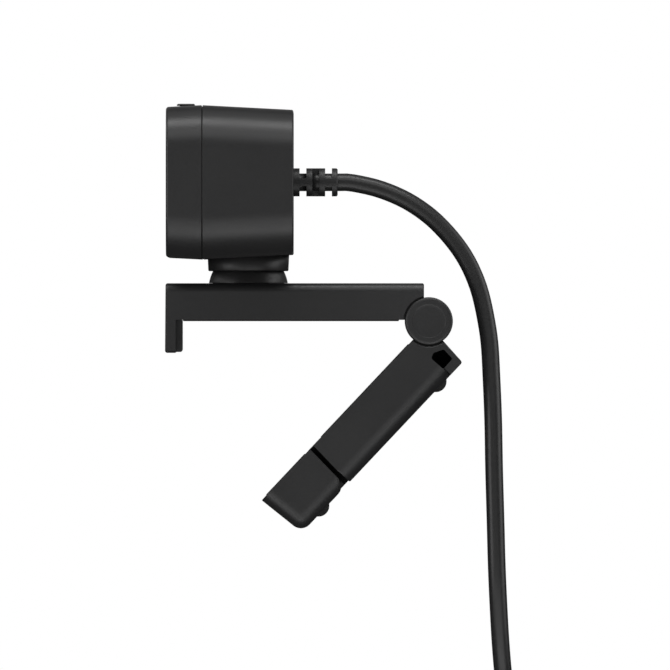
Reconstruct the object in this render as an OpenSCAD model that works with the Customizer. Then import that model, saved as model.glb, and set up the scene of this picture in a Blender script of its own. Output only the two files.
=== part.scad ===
// Clip-on webcam: a camera head on a ball neck, over a folding monitor clip.
// The camera looks along -Y, +Z is up, and X runs across its width.
// The origin lies on the arm's underside pad, straight below the swivel axis.
// Leg and foot are drawn folded flat under the arm, then turned to where they stand.

/* [Head] */
// Width of the camera head across X
head_w = 86; // [80:1:96]
// Height of the head where its two shells meet
head_h = 34.3; // [33:0.1:36]
// Height of the head's middle above the clip's underside
head_z = 31; // [30.8:0.1:32]
// Distance from the swivel axis forward to the head's front face
head_front = 18.3; // [18:0.1:20]
// Distance from the swivel axis back to the head's rear face
head_rear = 10.1; // [10:0.1:12]
// Radius of the head's long edges, seen from the front
head_corner = 10; // [8:0.5:11]
// Wall thickness of the head's shells
wall = 1.6; // [1.4:0.1:1.8]
// Radius of the clear window over the lens
window_r = 7.5; // [7:0.1:7.8]
// Travel of the privacy shutter
shutter_travel = 12.5; // [11:0.5:13]

/* [Neck] */
// Radius of the ball that the head tilts on
ball_r = 8.94; // [8.8:0.02:9]
// Height of the ball's centre above the clip's underside
ball_z = 7.1; // [7:0.1:7.2]
// Radius of the collar under the head
collar_r = 9; // [8.9:0.05:10]
// Running gap between the ball and its cup
cup_gap = 0.04; // [0.02:0.01:0.08]

/* [Arm] */
// Width of the arm, the leg and the foot across X
arm_w = 30; // [28:1:34]
// Height of the arm's top face
arm_top = 8.47; // [8.4:0.01:8.6]
// Distance from the swivel axis forward to the front of the lip
lip_front = 18.6; // [18.4:0.1:19]
// Depth of the lip below the underside pad
lip_drop = 7.1; // [6:0.1:8]
// Thickness of the rubber pads
pad_t = 0.29; // [0.2:0.01:0.3]

/* [Hinge] */
// Distance from the swivel axis back to the leg's hinge pin
hinge_y = 40.4; // [40:0.1:41]
// Radius of the hinge knuckles
knuckle_r = 4.9; // [4.6:0.1:5]
// Radius of the round caps on the hinge's ends
cap_r = 5.36; // [5.2:0.02:5.4]
// Angle between the arm and the leg as it stands
leg_angle = 46.7; // [30:0.1:60]

/* [Leg and foot] */
// Thickness of the leg and the foot
leg_t = 11.5; // [11:0.1:11.8]
// Distance from the hinge pin to the end of the leg's inner face
leg_len = 37.9; // [37.5:0.1:38]
// Distance from the hinge pin to the foot's tip
foot_tip = 54.8; // [53:0.1:54.8]
// Distance from the hinge pin to the foot's own pin
foot_pin_u = 42.1; // [42:0.1:42.4]
// Depth of the foot's pin below the hinge pin
foot_pin_v = 9.1; // [9:0.05:9.2]

/* [Cord] */
// Diameter of the USB cord
cord_d = 4; // [3.8:0.1:4.2]
// Radius of the coil's outermost turn, at the cord's middle
coil_r = 29; // [29:0.5:31]
// Height of the coil's middle below the clip's underside
coil_drop = 122; // [122:1:124]

/* [Hidden] */
$fn = 64;
// A small overlap that keeps unions and cuts clean
eps = 0.01;
// Clearance round a cover or a countersunk screw
fit = 0.05;

// Head, front to back
front_y = -head_front;
rear_y = head_rear;
seam_y = -10.23;
seam_gap = 0.34;
front_h = head_h - 0.8;
front_w = head_w - 0.8;
rear_h = head_h - 2.1;
rear_w = head_w - 2.1;
slab_t = 0.3;
tongue = 1.6;
tongue_gap = 0.3;
panel_t = 1.2;
panel_w = head_w - 8;
panel_h = head_h - 7.3;
panel_r = head_corner - 3;
inner_front_y = front_y + panel_t + 0.5;
lens_ring_r = window_r + 1.9;
mic_hole_r = 0.6;
mic_r = 2;
mic_seat = 0.8;

// Shutter
blade_w = 13;
blade_front_y = -15.9;
blade_t = 0.6;
shutter_x = shutter_travel;
knob_front_y = -15.95;
knob_depth = 4.05;
knob_w = 6;
knob_low = head_z + head_h / 2;
knob_top = knob_low + 0.45;
stem_low = 44.6;

// Lens and electronics
lens_r = 5.8;
lens_front_y = -15;
board_y = 0;
board_t = 1.2;
board_w = 62;
board_h = 19;
board_back = board_y + board_t;
board_screw_x = 28;
board_screw_z = 7;
mic_x = 26;
led_x = -14;
housing_screw_x = 36.5;
housing_screw_y = 0.6;

// Strain relief
relief_r = 3.15;
relief_len = 9.9;
relief_z = 31.1;

// Neck
tilt_limit = 15;
cup_r = ball_r + cup_gap;
ball_inner_r = 6.9;
bolt_r = 1.5;
bolt_gap = 0.1;
collar_bottom = 11.2;
neck_plate_z = 18;
neck_plate_t = 1;
nut_z = 8.1;
nut_t = 2.3;
boss_r = 8;
boss_bore_r = boss_r + 0.05;
clip_z = 3;
groove_t = 0.6;
groove_r = 7.3;
washer_z = 3.6;

// Arm
base_t = 1.2;
arm_wall = 1.6;
arm_rear_y = hinge_y - 1.1;
lip_t = 2.4;
lip_pad_t = 1.45;
pad_w = arm_w - 5;
pad_front_y = -14.6;
pad_rear_y = 33.7;
lip_pad_top = -0.1;
arm_screw_x = 11;
arm_screw_ys = [-12, 14, 30];
screw_r = 0.85;
screw_head_r = 1.9;
post_r = 2.2;
cavity_front_y = -lip_front + lip_t + 1.4;
cavity_rear_y = 32.6;

// Hinge
pin_r = 1.5;
knuckle_gap = 0.3;
mid_knuckle = 8;
side_knuckle = 8.25;
washer_r = 4.2;
cap_t = 1.5;
cap_floor = arm_w / 2 - 1.35;
cap_pocket_r = cap_r + 0.34;

// Leg and foot, u along the leg from the hinge pin, v out from the arm
leg_v0 = pad_t;
leg_v1 = pad_t + leg_t;
leg_edge_r = 4;
leg_floor = 2;
leg_wall = 1.8;
leg_cavity_u0 = 9;
leg_cavity_u1 = leg_len - 2.2;
leg_cover_t = 1.2;
leg_pad_proud = 0.15;
leg_screw_us = [12.5, 32];
leg_bump_u = 8.74;
foot_bump_u = 47;
lug_w = 14;
lug_r = 2.3;
lug_gap = 0.4;
lug_web = 0.85;
foot_pin_r = 1;
bump_r = 1.95;
bump_h = 1;
bump_x = 8.5;
bump_stem_r = 1.28;
bump_stem_len = 1.45;
insert_u = 24;
insert_r = 4.15;
insert_len = 8;
insert_bore_r = 2.55;
insert_bore_len = 7.5;

// Coil and plug
coil_pitch = 4.1;
coil_y = 55;
coil_turns = 8.667;
coil_layers = 3;
coil_inner_r = coil_r - coil_pitch * coil_turns / coil_layers;
coil_half_t = coil_pitch + cord_d / 2 + 0.05;
tie_turn = 12;
tie_w = 10;
tie_t = 0.8;
plug_x = -5;
plug_y = 44.8;
plug_z = -108;
plug_w = 15.5;
plug_t = 8;
plug_len = 20;
boot_len = 8;
usb_w = 12;
usb_t = 4.5;
usb_len = 18.7;
usb_low = plug_z - boot_len - plug_len - usb_len;

// The cord's route from the strain relief down to the coil
cord_route = [
    [0, 20.05, 31.1], [0, 22.3, 31.1], [0, 25.3, 30.6], [0, 29, 29.7], [0, 33, 28.2],
    [0, 36.5, 26.4], [0, 40, 24], [0, 43, 21.3], [0.1, 46, 17.9], [0.3, 48.5, 14.3],
    [0.7, 50.5, 10.3], [1.2, 52, 6], [2.1, 53.2, 0.5], [3.1, 54, -5], [4.5, 54.4, -12],
    [6.4, 54.8, -22], [8, 55, -33], [8.9, 55.3, -44], [8.8, 55.6, -55], [7.7, 56, -64],
    [5.7, 56.5, -72.5], [2.4, 57.2, -80.5], [-2.3, 58, -87.6], [-8, 58.7, -93],
    [-14.5, 59.1, -96.9]
];

// The cord's last stretch, from the coil's inside over to the plug
tail_route = [
    [17.2, 50.9, -122], [17.3, 49, -116.5], [17, 46.6, -110.5], [15, 45.2, -103.5],
    [11, 44.8, -98.7], [6, 44.8, -97], [1, 44.8, -98.3], [-2.8, 44.8, -101], [-4.7, 44.8, -104.5],
    [-5, 44.8, -108]
];

// ---- Shared shapes ----

// A rectangle with round corners, centred on the origin
module round_rect(w, h, r) {
    square([w, h - 2 * r], center = true);
    square([w - 2 * r, h], center = true);
    for (x = [-1, 1])
        for (y = [-1, 1])
            translate([x * (w / 2 - r), y * (h / 2 - r)])
                circle(r);
}

// A round-cornered plate that stands across Y, from y over thickness t, at the head's height
module plate_y(w, h, r, y, t, x = 0, z = head_z) {
    translate([x, y + t, z])
        rotate([90, 0, 0])
            linear_extrude(t)
                round_rect(w, h, r);
}

// A shell's solid between two upright outlines of different size
module taper_y(w0, h0, y0, w1, h1, y1, r) {
    hull() {
        plate_y(w0, h0, r, y0, slab_t, $fn = 48);
        plate_y(w1, h1, r, y1 - slab_t, slab_t, $fn = 48);
    }
}

// A cylinder along Y, from y over length len
module rod_y(r, y, len, x = 0, z = head_z) {
    translate([x, y + len, z])
        rotate([90, 0, 0])
            cylinder(r = r, h = len);
}

// A cylinder along X, centred on X = 0
module rod_x(r, len) {
    rotate([0, 90, 0])
        cylinder(r = r, h = len, center = true);
}

// A box between two corners
module block(low, high) {
    translate(low)
        cube(high - low);
}

// An outline in the YZ plane, drawn out across X
module side_profile(w) {
    rotate([90, 0, 90])
        linear_extrude(w, center = true)
            children();
}

// Places the folded leg, drawn along -Y under its pin, at its hinge and angle
module on_hinge() {
    translate([0, hinge_y, 0])
        rotate([leg_angle, 0, 0])
            children();
}

// An outline in u and v, drawn out across X in the folded leg's place
module leg_profile(w) {
    rotate([-90, 0, 0])
        rotate([0, 90, 0])
            linear_extrude(w, center = true)
                children();
}

// A pan-head screw along Y with its head towards +Y, its seat at y
module screw_y(x, y, z, head_r, head_t, shank_r, shank_len) {
    rod_y(head_r, y, head_t, x, z);
    rod_y(shank_r, y - shank_len, shank_len + eps, x, z);
}

// ---- Cord sweeps ----

function unit(v) = v / norm(v);
function tangent(p, i) = unit(p[min(i + 1, len(p) - 1)] - p[max(i - 1, 0)]);
function side_of(t) = unit(cross(t, abs(t[0]) < 0.9 ? [1, 0, 0] : [0, 0, 1]));
function ring_point(c, t, r, a) = c + r * (cos(a) * side_of(t) + sin(a) * cross(t, side_of(t)));

// A tube of n sides along the points p
module tube(p, r, n = 8) {
    last = len(p) - 1;
    points = [for (i = [0:last]) for (k = [0:n - 1]) ring_point(p[i], tangent(p, i), r, k * 360 / n)];
    walls = [for (i = [0:last - 1]) for (k = [0:n - 1])
        [i * n + k, (i + 1) * n + k, (i + 1) * n + (k + 1) % n, i * n + (k + 1) % n]];
    start_cap = [[for (k = [0:n - 1]) k]];
    end_cap = [[for (k = [n - 1:-1:0]) last * n + k]];
    polyhedron(points, concat(walls, start_cap, end_cap));
}

// ---- Head shells ----

module front_solid(inset, y1) {
    taper_y(
        front_w - 2 * inset, front_h - 2 * inset, front_y,
        head_w - 2 * inset, head_h - 2 * inset, y1, head_corner - inset
    );
}

module rear_solid(inset, y0, y1) {
    taper_y(
        head_w - 2 * inset, head_h - 2 * inset, y0,
        rear_w - 2 * inset, rear_h - 2 * inset, y1, head_corner - inset
    );
}

// Front shell with the panel's recess, the shutter's slot and its screw bosses
module front_bezel() {
    front_end = seam_y - seam_gap / 2;
    cut_depth = 3;
    slot_inset = 0.3;
    color("#2b2b2b")
        difference() {
            union() {
                difference() {
                    front_solid(0, front_end);
                    translate([0, inner_front_y - front_y, 0])
                        front_solid(wall, front_end + 4);
                }
                for (x = [-1, 1]) {
                    for (z = [-1, 1])
                        rod_y(2.3, inner_front_y - eps, board_y - inner_front_y,
                            x * board_screw_x, head_z + z * board_screw_z);
                    rod_y(2.6, inner_front_y - eps, -1 - inner_front_y, x * housing_screw_x);
                }
            }
            plate_y(panel_w, panel_h, panel_r, front_y - 1, panel_t + 1.05);
            rod_y(lens_ring_r, front_y, cut_depth);
            for (x = [-1, 1]) {
                for (z = [-1, 1])
                    rod_y(1.05, board_y - 6, 7, x * board_screw_x, head_z + z * board_screw_z);
                rod_y(1.15, -9, 9, x * housing_screw_x);
                rod_y(mic_hole_r, front_y, cut_depth, x * mic_x);
            }
            rod_y(1.1, front_y, cut_depth, led_x);
            block([-knob_w / 2 + slot_inset, -15.5, head_z],
                [shutter_x + knob_w / 2 - slot_inset, -12.4, knob_low + 2]);
        }
}

// Gloss panel set into the front shell
module front_panel() {
    color("#0c0d0f")
        difference() {
            plate_y(panel_w - 0.1, panel_h - 0.1, panel_r, front_y, panel_t);
            rod_y(lens_ring_r + 0.05, front_y - 1, 3);
            rod_y(1.05, front_y - 1, 3, led_x);
            for (x = [-1, 1])
                rod_y(mic_hole_r, front_y - 1, 3, x * mic_x);
        }
}

// Trim ring round the lens window
module lens_ring() {
    color("#3a3c40")
        difference() {
            rod_y(lens_ring_r, front_y, panel_t);
            rod_y(window_r, front_y - 1, 3);
        }
}

// Clear window in front of the shutter
module lens_window() {
    color("#9fb4c0", 0.4)
        rod_y(window_r - 0.02, front_y + 0.4, 0.8);
}

// Rear shell with its tongue, the cup for the ball and the screw tubes
module rear_housing() {
    rear_start = seam_y + seam_gap / 2;
    tongue_w = head_w - 2 * (wall + tongue_gap);
    tongue_h = head_h - 2 * (wall + tongue_gap);
    cup_low = 14.9;
    cup_block_r = 8.4;
    color("#2b2b2b")
        difference() {
            union() {
                difference() {
                    rear_solid(0, rear_start, rear_y);
                    rear_solid(wall, rear_start - 1, rear_y - wall);
                }
                difference() {
                    union() {
                        plate_y(tongue_w, tongue_h, head_corner - wall, rear_start - tongue, tongue + 1);
                        plate_y(head_w - wall, head_h - wall, head_corner - wall / 2, rear_start, 1);
                    }
                    plate_y(head_w - 4 * wall, head_h - 4 * wall, head_corner - 2 * wall,
                        rear_start - tongue - 1, tongue + 3);
                }
                translate([0, 0, cup_low])
                    cylinder(r = cup_block_r, h = neck_plate_z - cup_low);
                for (x = [-1, 1])
                    rod_y(3, -0.9, rear_y - wall + 1, x * housing_screw_x);
            }
            translate([0, 0, ball_z])
                sphere(cup_r, $fn = 96);
            translate([0, 0, cup_low - 1])
                cylinder(r = bolt_r + bolt_gap, h = 6);
            rod_y(relief_r + 0.05, rear_y - 3, 4, 0, relief_z);
            for (x = [-1, 1]) {
                rod_y(1.2, -2, 6, x * housing_screw_x);
                rod_y(2.1, housing_screw_y, 12, x * housing_screw_x);
            }
        }
}

// ---- Lens ----

module lens_barrel() {
    barrel_len = 11;
    rim_t = 1.5;
    bore_r = 4.2;
    flare_r = 5.4;
    flare_t = 1.2;
    color("#1a1a1c")
        difference() {
            union() {
                rod_y(lens_r, lens_front_y + rim_t, barrel_len - rim_t);
                rod_y(lens_r + 0.7, lens_front_y, rim_t + eps);
            }
            rod_y(bore_r, lens_front_y + flare_t, barrel_len);
            translate([0, lens_front_y - eps, head_z])
                rotate([-90, 0, 0])
                    cylinder(r1 = flare_r, r2 = bore_r, h = flare_t + 2 * eps);
        }
}

// Three glass elements along the barrel
module lens_elements() {
    glass_r = 4.18;
    dome_r = 6.8;
    color("#5d6f86", 0.6) {
        intersection() {
            rod_y(glass_r, lens_front_y + 1.3, 1.8);
            translate([0, lens_front_y + 1.3 + dome_r, head_z])
                sphere(dome_r, $fn = 96);
        }
        rod_y(glass_r, lens_front_y + 4.6, 1.4);
        rod_y(glass_r, lens_front_y + 8, 1.2);
    }
}

// Square foot on the board with the tube that the barrel screws into
module lens_holder() {
    foot_half = 8.5;
    foot_t = 2;
    color("#202024")
        difference() {
            union() {
                block([-foot_half, board_y - foot_t, head_z - foot_half],
                    [foot_half, board_y, head_z + foot_half]);
                rod_y(lens_r + 1.4, -9.5, 7.6);
            }
            rod_y(lens_r + 0.03, -12, 9);
            rod_y(5, -4, 2.2);
            block([-5.5, -1.9, head_z - 5], [5.5, 1, head_z + 5]);
        }
}

module ir_filter() {
    color("#7fb0c8", 0.5)
        block([-4.5, -1.85, head_z - 4], [4.5, -1.4, head_z + 4]);
}

module image_sensor() {
    color("#404a58")
        block([-5, -1, head_z - 4.5], [5, 0, head_z + 4.5]);
}

// ---- Electronics ----

module main_board() {
    color("#1d4a2c")
        difference() {
            plate_y(board_w, board_h, 1.5, board_y, board_t);
            for (x = [-1, 1])
                for (z = [-1, 1])
                    rod_y(1.1, board_y - 1, 4, x * board_screw_x, head_z + z * board_screw_z);
        }
}

// One package on the board's back, given its middle and its size
module chip(x, z, w, h, t) {
    color("#17181a")
        block([x - w / 2, board_back, head_z + z - h / 2], [x + w / 2, board_back + t, head_z + z + h / 2]);
}

module board_chips() {
    chip(12.5, 0, 9, 9, 1);
    chip(22.5, 0, 5, 4, 0.9);
    chip(-21, 3, 6, 4, 1.1);
    chip(-20.5, -4.5, 3, 3, 1.5);
}

// Board header that the cord's wires plug into
module cable_connector() {
    connector_t = 4.4;
    color("#d8d2c2")
        block([-14, board_back, head_z - 3.5], [-5, board_back + connector_t, head_z + 3.7]);
}

// Four wires from the header round to the strain relief
module internal_wires() {
    bend_r = 5;
    wire_r = 0.32;
    wire_pitch = 0.7;
    color("#9a3030")
        for (i = [-1.5:1.5])
            translate([-bend_r, board_back + 2.2 + bend_r, relief_z + i * wire_pitch])
                rotate([0, 0, -90])
                    rotate_extrude(angle = 90)
                        translate([bend_r, 0])
                            circle(wire_r, $fn = 16);
}

module microphones() {
    color("#b8bcc0")
        for (x = [-1, 1])
            rod_y(mic_r, inner_front_y + mic_seat, 1.5, x * mic_x);
}

// Rubber boots that seal the microphones to their holes
module mic_gaskets() {
    color("#151515")
        for (x = [-1, 1])
            difference() {
                rod_y(mic_r + 0.9, inner_front_y, 2.8, x * mic_x);
                rod_y(mic_r, inner_front_y + mic_seat, 3, x * mic_x);
                rod_y(mic_hole_r, inner_front_y - 1, 4, x * mic_x);
            }
}

module status_led() {
    color("#e8f0d0")
        block([led_x - 1, board_y - 0.9, head_z - 0.6], [led_x + 1, board_y, head_z + 0.6]);
}

module light_pipe() {
    color("#e6eef2", 0.5)
        rod_y(1, front_y + 0.1, board_y - 1 - front_y, led_x);
}

// ---- Shutter ----

// Plate behind the front panel with the rail that the blade runs on
module shutter_guide() {
    color("#202024")
        difference() {
            union() {
                plate_y(40, 17, 1.5, inner_front_y + 0.02, blade_front_y - 0.1 - inner_front_y, 3);
                block([-12, inner_front_y + 0.05, head_z - 8.4], [22, -14.9, head_z - 6.9]);
            }
            rod_y(window_r + 0.1, front_y, 5);
            rod_y(1.2, front_y, 6, led_x);
        }
}

// Knob on top of the head, with the stem and bar that carry the blade
module shutter_slider() {
    stem_front_y = -15.3;
    slope = 0.45;
    edge_t = 0.05;
    color("#242424") {
        hull() {
            block([shutter_x - knob_w / 2, knob_front_y, knob_low],
                [shutter_x + knob_w / 2, knob_front_y + knob_depth, knob_low + edge_t]);
            block([shutter_x - knob_w / 2 + slope, knob_front_y + slope, knob_top - edge_t],
                [shutter_x + knob_w / 2 - slope, knob_front_y + knob_depth - slope, knob_top]);
        }
        block([shutter_x - knob_w / 2 + 0.8, stem_front_y, stem_low],
            [shutter_x + knob_w / 2 - 0.8, -12.6, knob_low + eps]);
        block([shutter_x - blade_w / 2 + 1, stem_front_y, stem_low - 1.2],
            [shutter_x + blade_w / 2 - 1, -12.9, stem_low + 0.1]);
    }
}

module shutter_blade() {
    color("#3a3a3a")
        block([shutter_x - blade_w / 2, blade_front_y, head_z - 6.8],
            [shutter_x + blade_w / 2, blade_front_y + blade_t, stem_low + 0.1]);
}

// ---- Head fasteners ----

module board_screws() {
    color("#b9bdc2")
        for (x = [-1, 1])
            for (z = [-1, 1])
                screw_y(x * board_screw_x, board_back, head_z + z * board_screw_z, screw_head_r, 1.2, 1, 6);
}

module housing_screws() {
    color("#8d9196")
        for (x = [-1, 1])
            screw_y(x * housing_screw_x, housing_screw_y, head_z, 2, 1.4, 1.1, 8);
}

// ---- Neck ----

// Collar cupped to the ball, its top cut to the head's sloping underside
module collar() {
    color("#2a2a2a")
        difference() {
            translate([0, 0, collar_bottom])
                cylinder(r1 = collar_r - 0.15, r2 = collar_r, h = 4);
            rear_solid(0, seam_y + seam_gap / 2, rear_y);
            translate([0, 0, ball_z])
                sphere(cup_r, $fn = 96);
        }
}

module neck_plate() {
    color("#a4a8ad")
        difference() {
            block([-8, -6, neck_plate_z], [8, 6, neck_plate_z + neck_plate_t]);
            translate([0, 0, neck_plate_z - 1])
                cylinder(r = bolt_r + bolt_gap, h = 4);
        }
}

module neck_bolt() {
    head_seat = neck_plate_z + neck_plate_t;
    shank_low = 8;
    color("#a4a8ad") {
        translate([0, 0, shank_low])
            cylinder(r = bolt_r, h = head_seat - shank_low + eps);
        translate([0, 0, head_seat])
            cylinder(r = 2.75, h = 2);
    }
}

// Cup that presses on the inside of the ball
module friction_cup() {
    cup_rim_z = 11.3;
    cup_inner_r = 5.6;
    color("#d9d9d4")
        difference() {
            translate([0, 0, ball_z])
                sphere(ball_inner_r - cup_gap, $fn = 96);
            translate([0, 0, ball_z])
                sphere(cup_inner_r, $fn = 96);
            translate([0, 0, cup_rim_z - 20])
                cylinder(r = 12, h = 20);
            cylinder(r = bolt_r + bolt_gap, h = 20);
        }
}

// Spring washer between the nut and the cup
module neck_spring() {
    color("#8d9196")
        translate([0, 0, nut_z + nut_t])
            difference() {
                cylinder(r = 3.3, h = 1.1);
                translate([0, 0, -1])
                    cylinder(r = bolt_r + bolt_gap, h = 4);
            }
}

module neck_nut() {
    color("#a4a8ad")
        translate([0, 0, nut_z])
            difference() {
                cylinder(r = 3.1, h = nut_t, $fn = 6);
                translate([0, 0, -1])
                    cylinder(r = bolt_r, h = 5);
            }
}

// Hollow ball with a slot for the neck bolt and a boss that turns in the arm
module ball_base() {
    slot_y = (ball_r + 0.2) * sin(tilt_limit) + bolt_r + 0.3;
    color("#262626")
        difference() {
            union() {
                difference() {
                    translate([0, 0, ball_z])
                        sphere(ball_r, $fn = 96);
                    translate([0, 0, -20])
                        cylinder(r = 20, h = 20 + arm_top + 0.05);
                }
                translate([0, 0, 2.2])
                    cylinder(r = boss_r, h = arm_top - 2);
            }
            translate([0, 0, ball_z])
                sphere(ball_inner_r, $fn = 96);
            translate([0, 0, 1])
                cylinder(r = 6.2, h = 6);
            translate([0, 0, clip_z])
                difference() {
                    cylinder(r = 10, h = groove_t);
                    translate([0, 0, -1])
                        cylinder(r = groove_r, h = 3);
                }
            block([-bolt_r - bolt_gap, -slot_y, 10], [bolt_r + bolt_gap, slot_y, 20]);
        }
}

// Spring clip in the groove of the ball's boss, open at the back
module swivel_clip() {
    color("#9a9ea3")
        translate([0, 0, clip_z + 0.03])
            difference() {
                cylinder(r = 9.4, h = groove_t - 0.06);
                translate([0, 0, -1])
                    cylinder(r = groove_r + 0.05, h = 3);
                block([-3, 0, -1], [3, 12, 2]);
            }
}

module swivel_washer() {
    color("#e2e0d8")
        translate([0, 0, washer_z])
            difference() {
                cylinder(r = 9.8, h = 0.28);
                translate([0, 0, -1])
                    cylinder(r = boss_bore_r, h = 3);
            }
}

// ---- Strain relief and cord ----

// Slotted sleeve: rings joined by webs that alternate between the sides and the top
module strain_relief() {
    slot_starts = [1.45, 4.3, 7.15];
    slot_t = 1.45;
    color("#1b1b1b")
        difference() {
            union() {
                rod_y(relief_r, rear_y - wall - 0.1, relief_len + wall + 0.1, 0, relief_z);
                rod_y(4.4, rear_y - wall - 1.5, 1.5, 0, relief_z);
            }
            for (i = [0:2])
                translate([0, rear_y + slot_starts[i], relief_z])
                    rotate([0, i % 2 == 0 ? 0 : 90, 0])
                        for (side = [-1, 1])
                            translate([-4, 0, side > 0 ? cord_d / 2 : -cord_d / 2 - 4])
                                cube([8, slot_t, 4]);
            rod_y(1.6, rear_y - 5, 4, 0, relief_z);
        }
}

module usb_cord() {
    color("#202020")
        tube(cord_route, cord_d / 2);
}

module cord_tail() {
    color("#202020")
        tube(tail_route, cord_d / 2);
}

// The outer shape of the coiled cord, standing across Y
module cord_coil() {
    ring_in = coil_inner_r - cord_d / 2;
    ring_out = coil_r + cord_d / 2;
    color("#202020")
        translate([0, coil_y, -coil_drop])
            rotate([90, 0, 0])
                rotate_extrude($fn = 96)
                    translate([(ring_in + ring_out) / 2, 0])
                        round_rect(ring_out - ring_in, 2 * coil_half_t, cord_d / 2, $fn = 16);
}

// Strap round the top of the coil
module cord_tie() {
    low = coil_inner_r - cord_d / 2 - 0.3;
    high = coil_r + cord_d / 2;
    color("#141414")
        translate([0, coil_y, -coil_drop])
            rotate([0, tie_turn, 0])
                difference() {
                    block([-tie_w / 2, -coil_half_t - tie_t, low - tie_t],
                        [tie_w / 2, coil_half_t + tie_t, high + tie_t]);
                    block([-tie_w / 2 - 1, -coil_half_t, low], [tie_w / 2 + 1, coil_half_t, high]);
                }
}

module plug_body() {
    color("#202020")
        translate([plug_x, plug_y, plug_z]) {
            translate([0, 0, -boot_len - eps])
                cylinder(r1 = 3.4, r2 = 2.6, h = boot_len + eps);
            translate([0, 0, -boot_len - plug_len])
                linear_extrude(plug_len)
                    round_rect(plug_w, plug_t, 2);
        }
}

// Sheet-metal shell of the plug, open at its mouth
module plug_shell() {
    sheet_t = 0.3;
    color("#c4c7cb")
        translate([plug_x, plug_y, usb_low])
            linear_extrude(usb_len)
                difference() {
                    square([usb_w, usb_t], center = true);
                    square([usb_w - 2 * sheet_t, usb_t - 2 * sheet_t], center = true);
                }
}

// Insulator tongue with its four contacts
module plug_contacts() {
    mouth = 1.5;
    contact_pitch = 2.5;
    color("#d8d8d8")
        translate([plug_x, plug_y, usb_low + mouth]) {
            block([-5.6, -1.9, 0], [5.6, 0, usb_len - mouth]);
            for (i = [-1.5:1.5])
                block([i * contact_pitch - 0.5, -eps, 1],
                    [i * contact_pitch + 0.5, 0.2, usb_len - 2 * mouth]);
        }
}

// ---- Arm ----

// Arm's side outline: the bar with the lip that hooks over a monitor
module arm_outline() {
    polygon([
        [-lip_front + 0.1, arm_top], [-lip_front, -lip_drop + 0.45], [-lip_front + 0.45, -lip_drop],
        [-lip_front + lip_t - 0.2, -lip_drop], [-lip_front + lip_t, -lip_drop + 0.2],
        [-lip_front + lip_t, pad_t], [arm_rear_y, pad_t],
        [arm_rear_y, arm_top - 0.5], [arm_rear_y - 0.5, arm_top]
    ]);
}

// Arm's cross-section with its two long top edges rounded
module arm_section() {
    edge_r = 1;
    difference() {
        translate([0, (arm_top - 10) / 2])
            square([arm_w, arm_top + 10], center = true);
        for (side = [-1, 1])
            difference() {
                translate([side * (arm_w / 2 - edge_r / 2 + 0.5), arm_top - edge_r / 2 + 0.5])
                    square(edge_r + 1, center = true);
                translate([side * (arm_w / 2 - edge_r), arm_top - edge_r])
                    circle(edge_r, $fn = 32);
            }
    }
}

module arm_shell() {
    color("#2e2e2e")
        difference() {
            union() {
                difference() {
                    intersection() {
                        side_profile(arm_w + 2)
                            arm_outline();
                        translate([0, 50, 0])
                            rotate([90, 0, 0])
                                linear_extrude(80)
                                    arm_section();
                    }
                    block([-arm_w / 2 + arm_wall, cavity_front_y, -5],
                        [arm_w / 2 - arm_wall, cavity_rear_y, arm_top - arm_wall]);
                }
                translate([0, 0, washer_z + 0.3])
                    cylinder(r = 10.4, h = arm_top - washer_z - 1);
                for (y = arm_screw_ys)
                    for (x = [-1, 1])
                        translate([x * arm_screw_x, y, pad_t + base_t])
                            cylinder(r = post_r, h = arm_top - 3);
                for (x = [-1, 1])
                    translate([x * (side_knuckle + cap_floor) / 2, hinge_y, 0])
                        rod_x(knuckle_r, cap_floor - side_knuckle);
            }
            translate([0, 0, 1])
                cylinder(r = boss_bore_r, h = 10);
            for (y = arm_screw_ys)
                for (x = [-1, 1])
                    translate([x * arm_screw_x, y, 0])
                        cylinder(r = 0.9, h = 6);
            translate([0, hinge_y, 0]) {
                rod_x(pin_r + 0.02, arm_w);
                rod_x(knuckle_r + knuckle_gap, 2 * side_knuckle);
                for (x = [-1, 1])
                    translate([x * (cap_floor + 2), 0, 0])
                        rod_x(cap_pocket_r, 4);
            }
        }
}

// Plate that closes the arm from below
module arm_base() {
    color("#2a2a2a")
        difference() {
            block([-arm_w / 2 + arm_wall + fit, cavity_front_y + fit, pad_t],
                [arm_w / 2 - arm_wall - fit, cavity_rear_y - fit, pad_t + base_t]);
            for (y = arm_screw_ys)
                for (x = [-1, 1])
                    translate([x * arm_screw_x, y, pad_t - eps])
                        cylinder(r1 = screw_head_r + fit, r2 = screw_r + 0.2, h = base_t + 2 * eps);
        }
}

module arm_screws() {
    color("#8d9196")
        for (y = arm_screw_ys)
            for (x = [-1, 1])
                translate([x * arm_screw_x, y, pad_t]) {
                    cylinder(r1 = screw_head_r, r2 = screw_r, h = base_t);
                    cylinder(r = screw_r, h = 5);
                }
}

module underside_pad() {
    color("#1c1c1c")
        translate([0, (pad_front_y + pad_rear_y) / 2, 0])
            linear_extrude(pad_t)
                round_rect(pad_w, pad_rear_y - pad_front_y, 1.5);
}

// Pad on the lip's inner face, slightly thinner at the bottom
module lip_pad() {
    back = -lip_front + lip_t;
    color("#1c1c1c")
        side_profile(pad_w)
            polygon([
                [back, -lip_drop + 0.2], [back + lip_pad_t - 0.3, -lip_drop + 0.2],
                [back + lip_pad_t, -lip_drop + 0.6], [back + lip_pad_t, lip_pad_top], [back, lip_pad_top]
            ]);
}

// ---- Hinge ----

module hinge_pin() {
    color("#a4a8ad")
        translate([0, hinge_y, 0])
            rod_x(pin_r, 2 * cap_floor);
}

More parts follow.
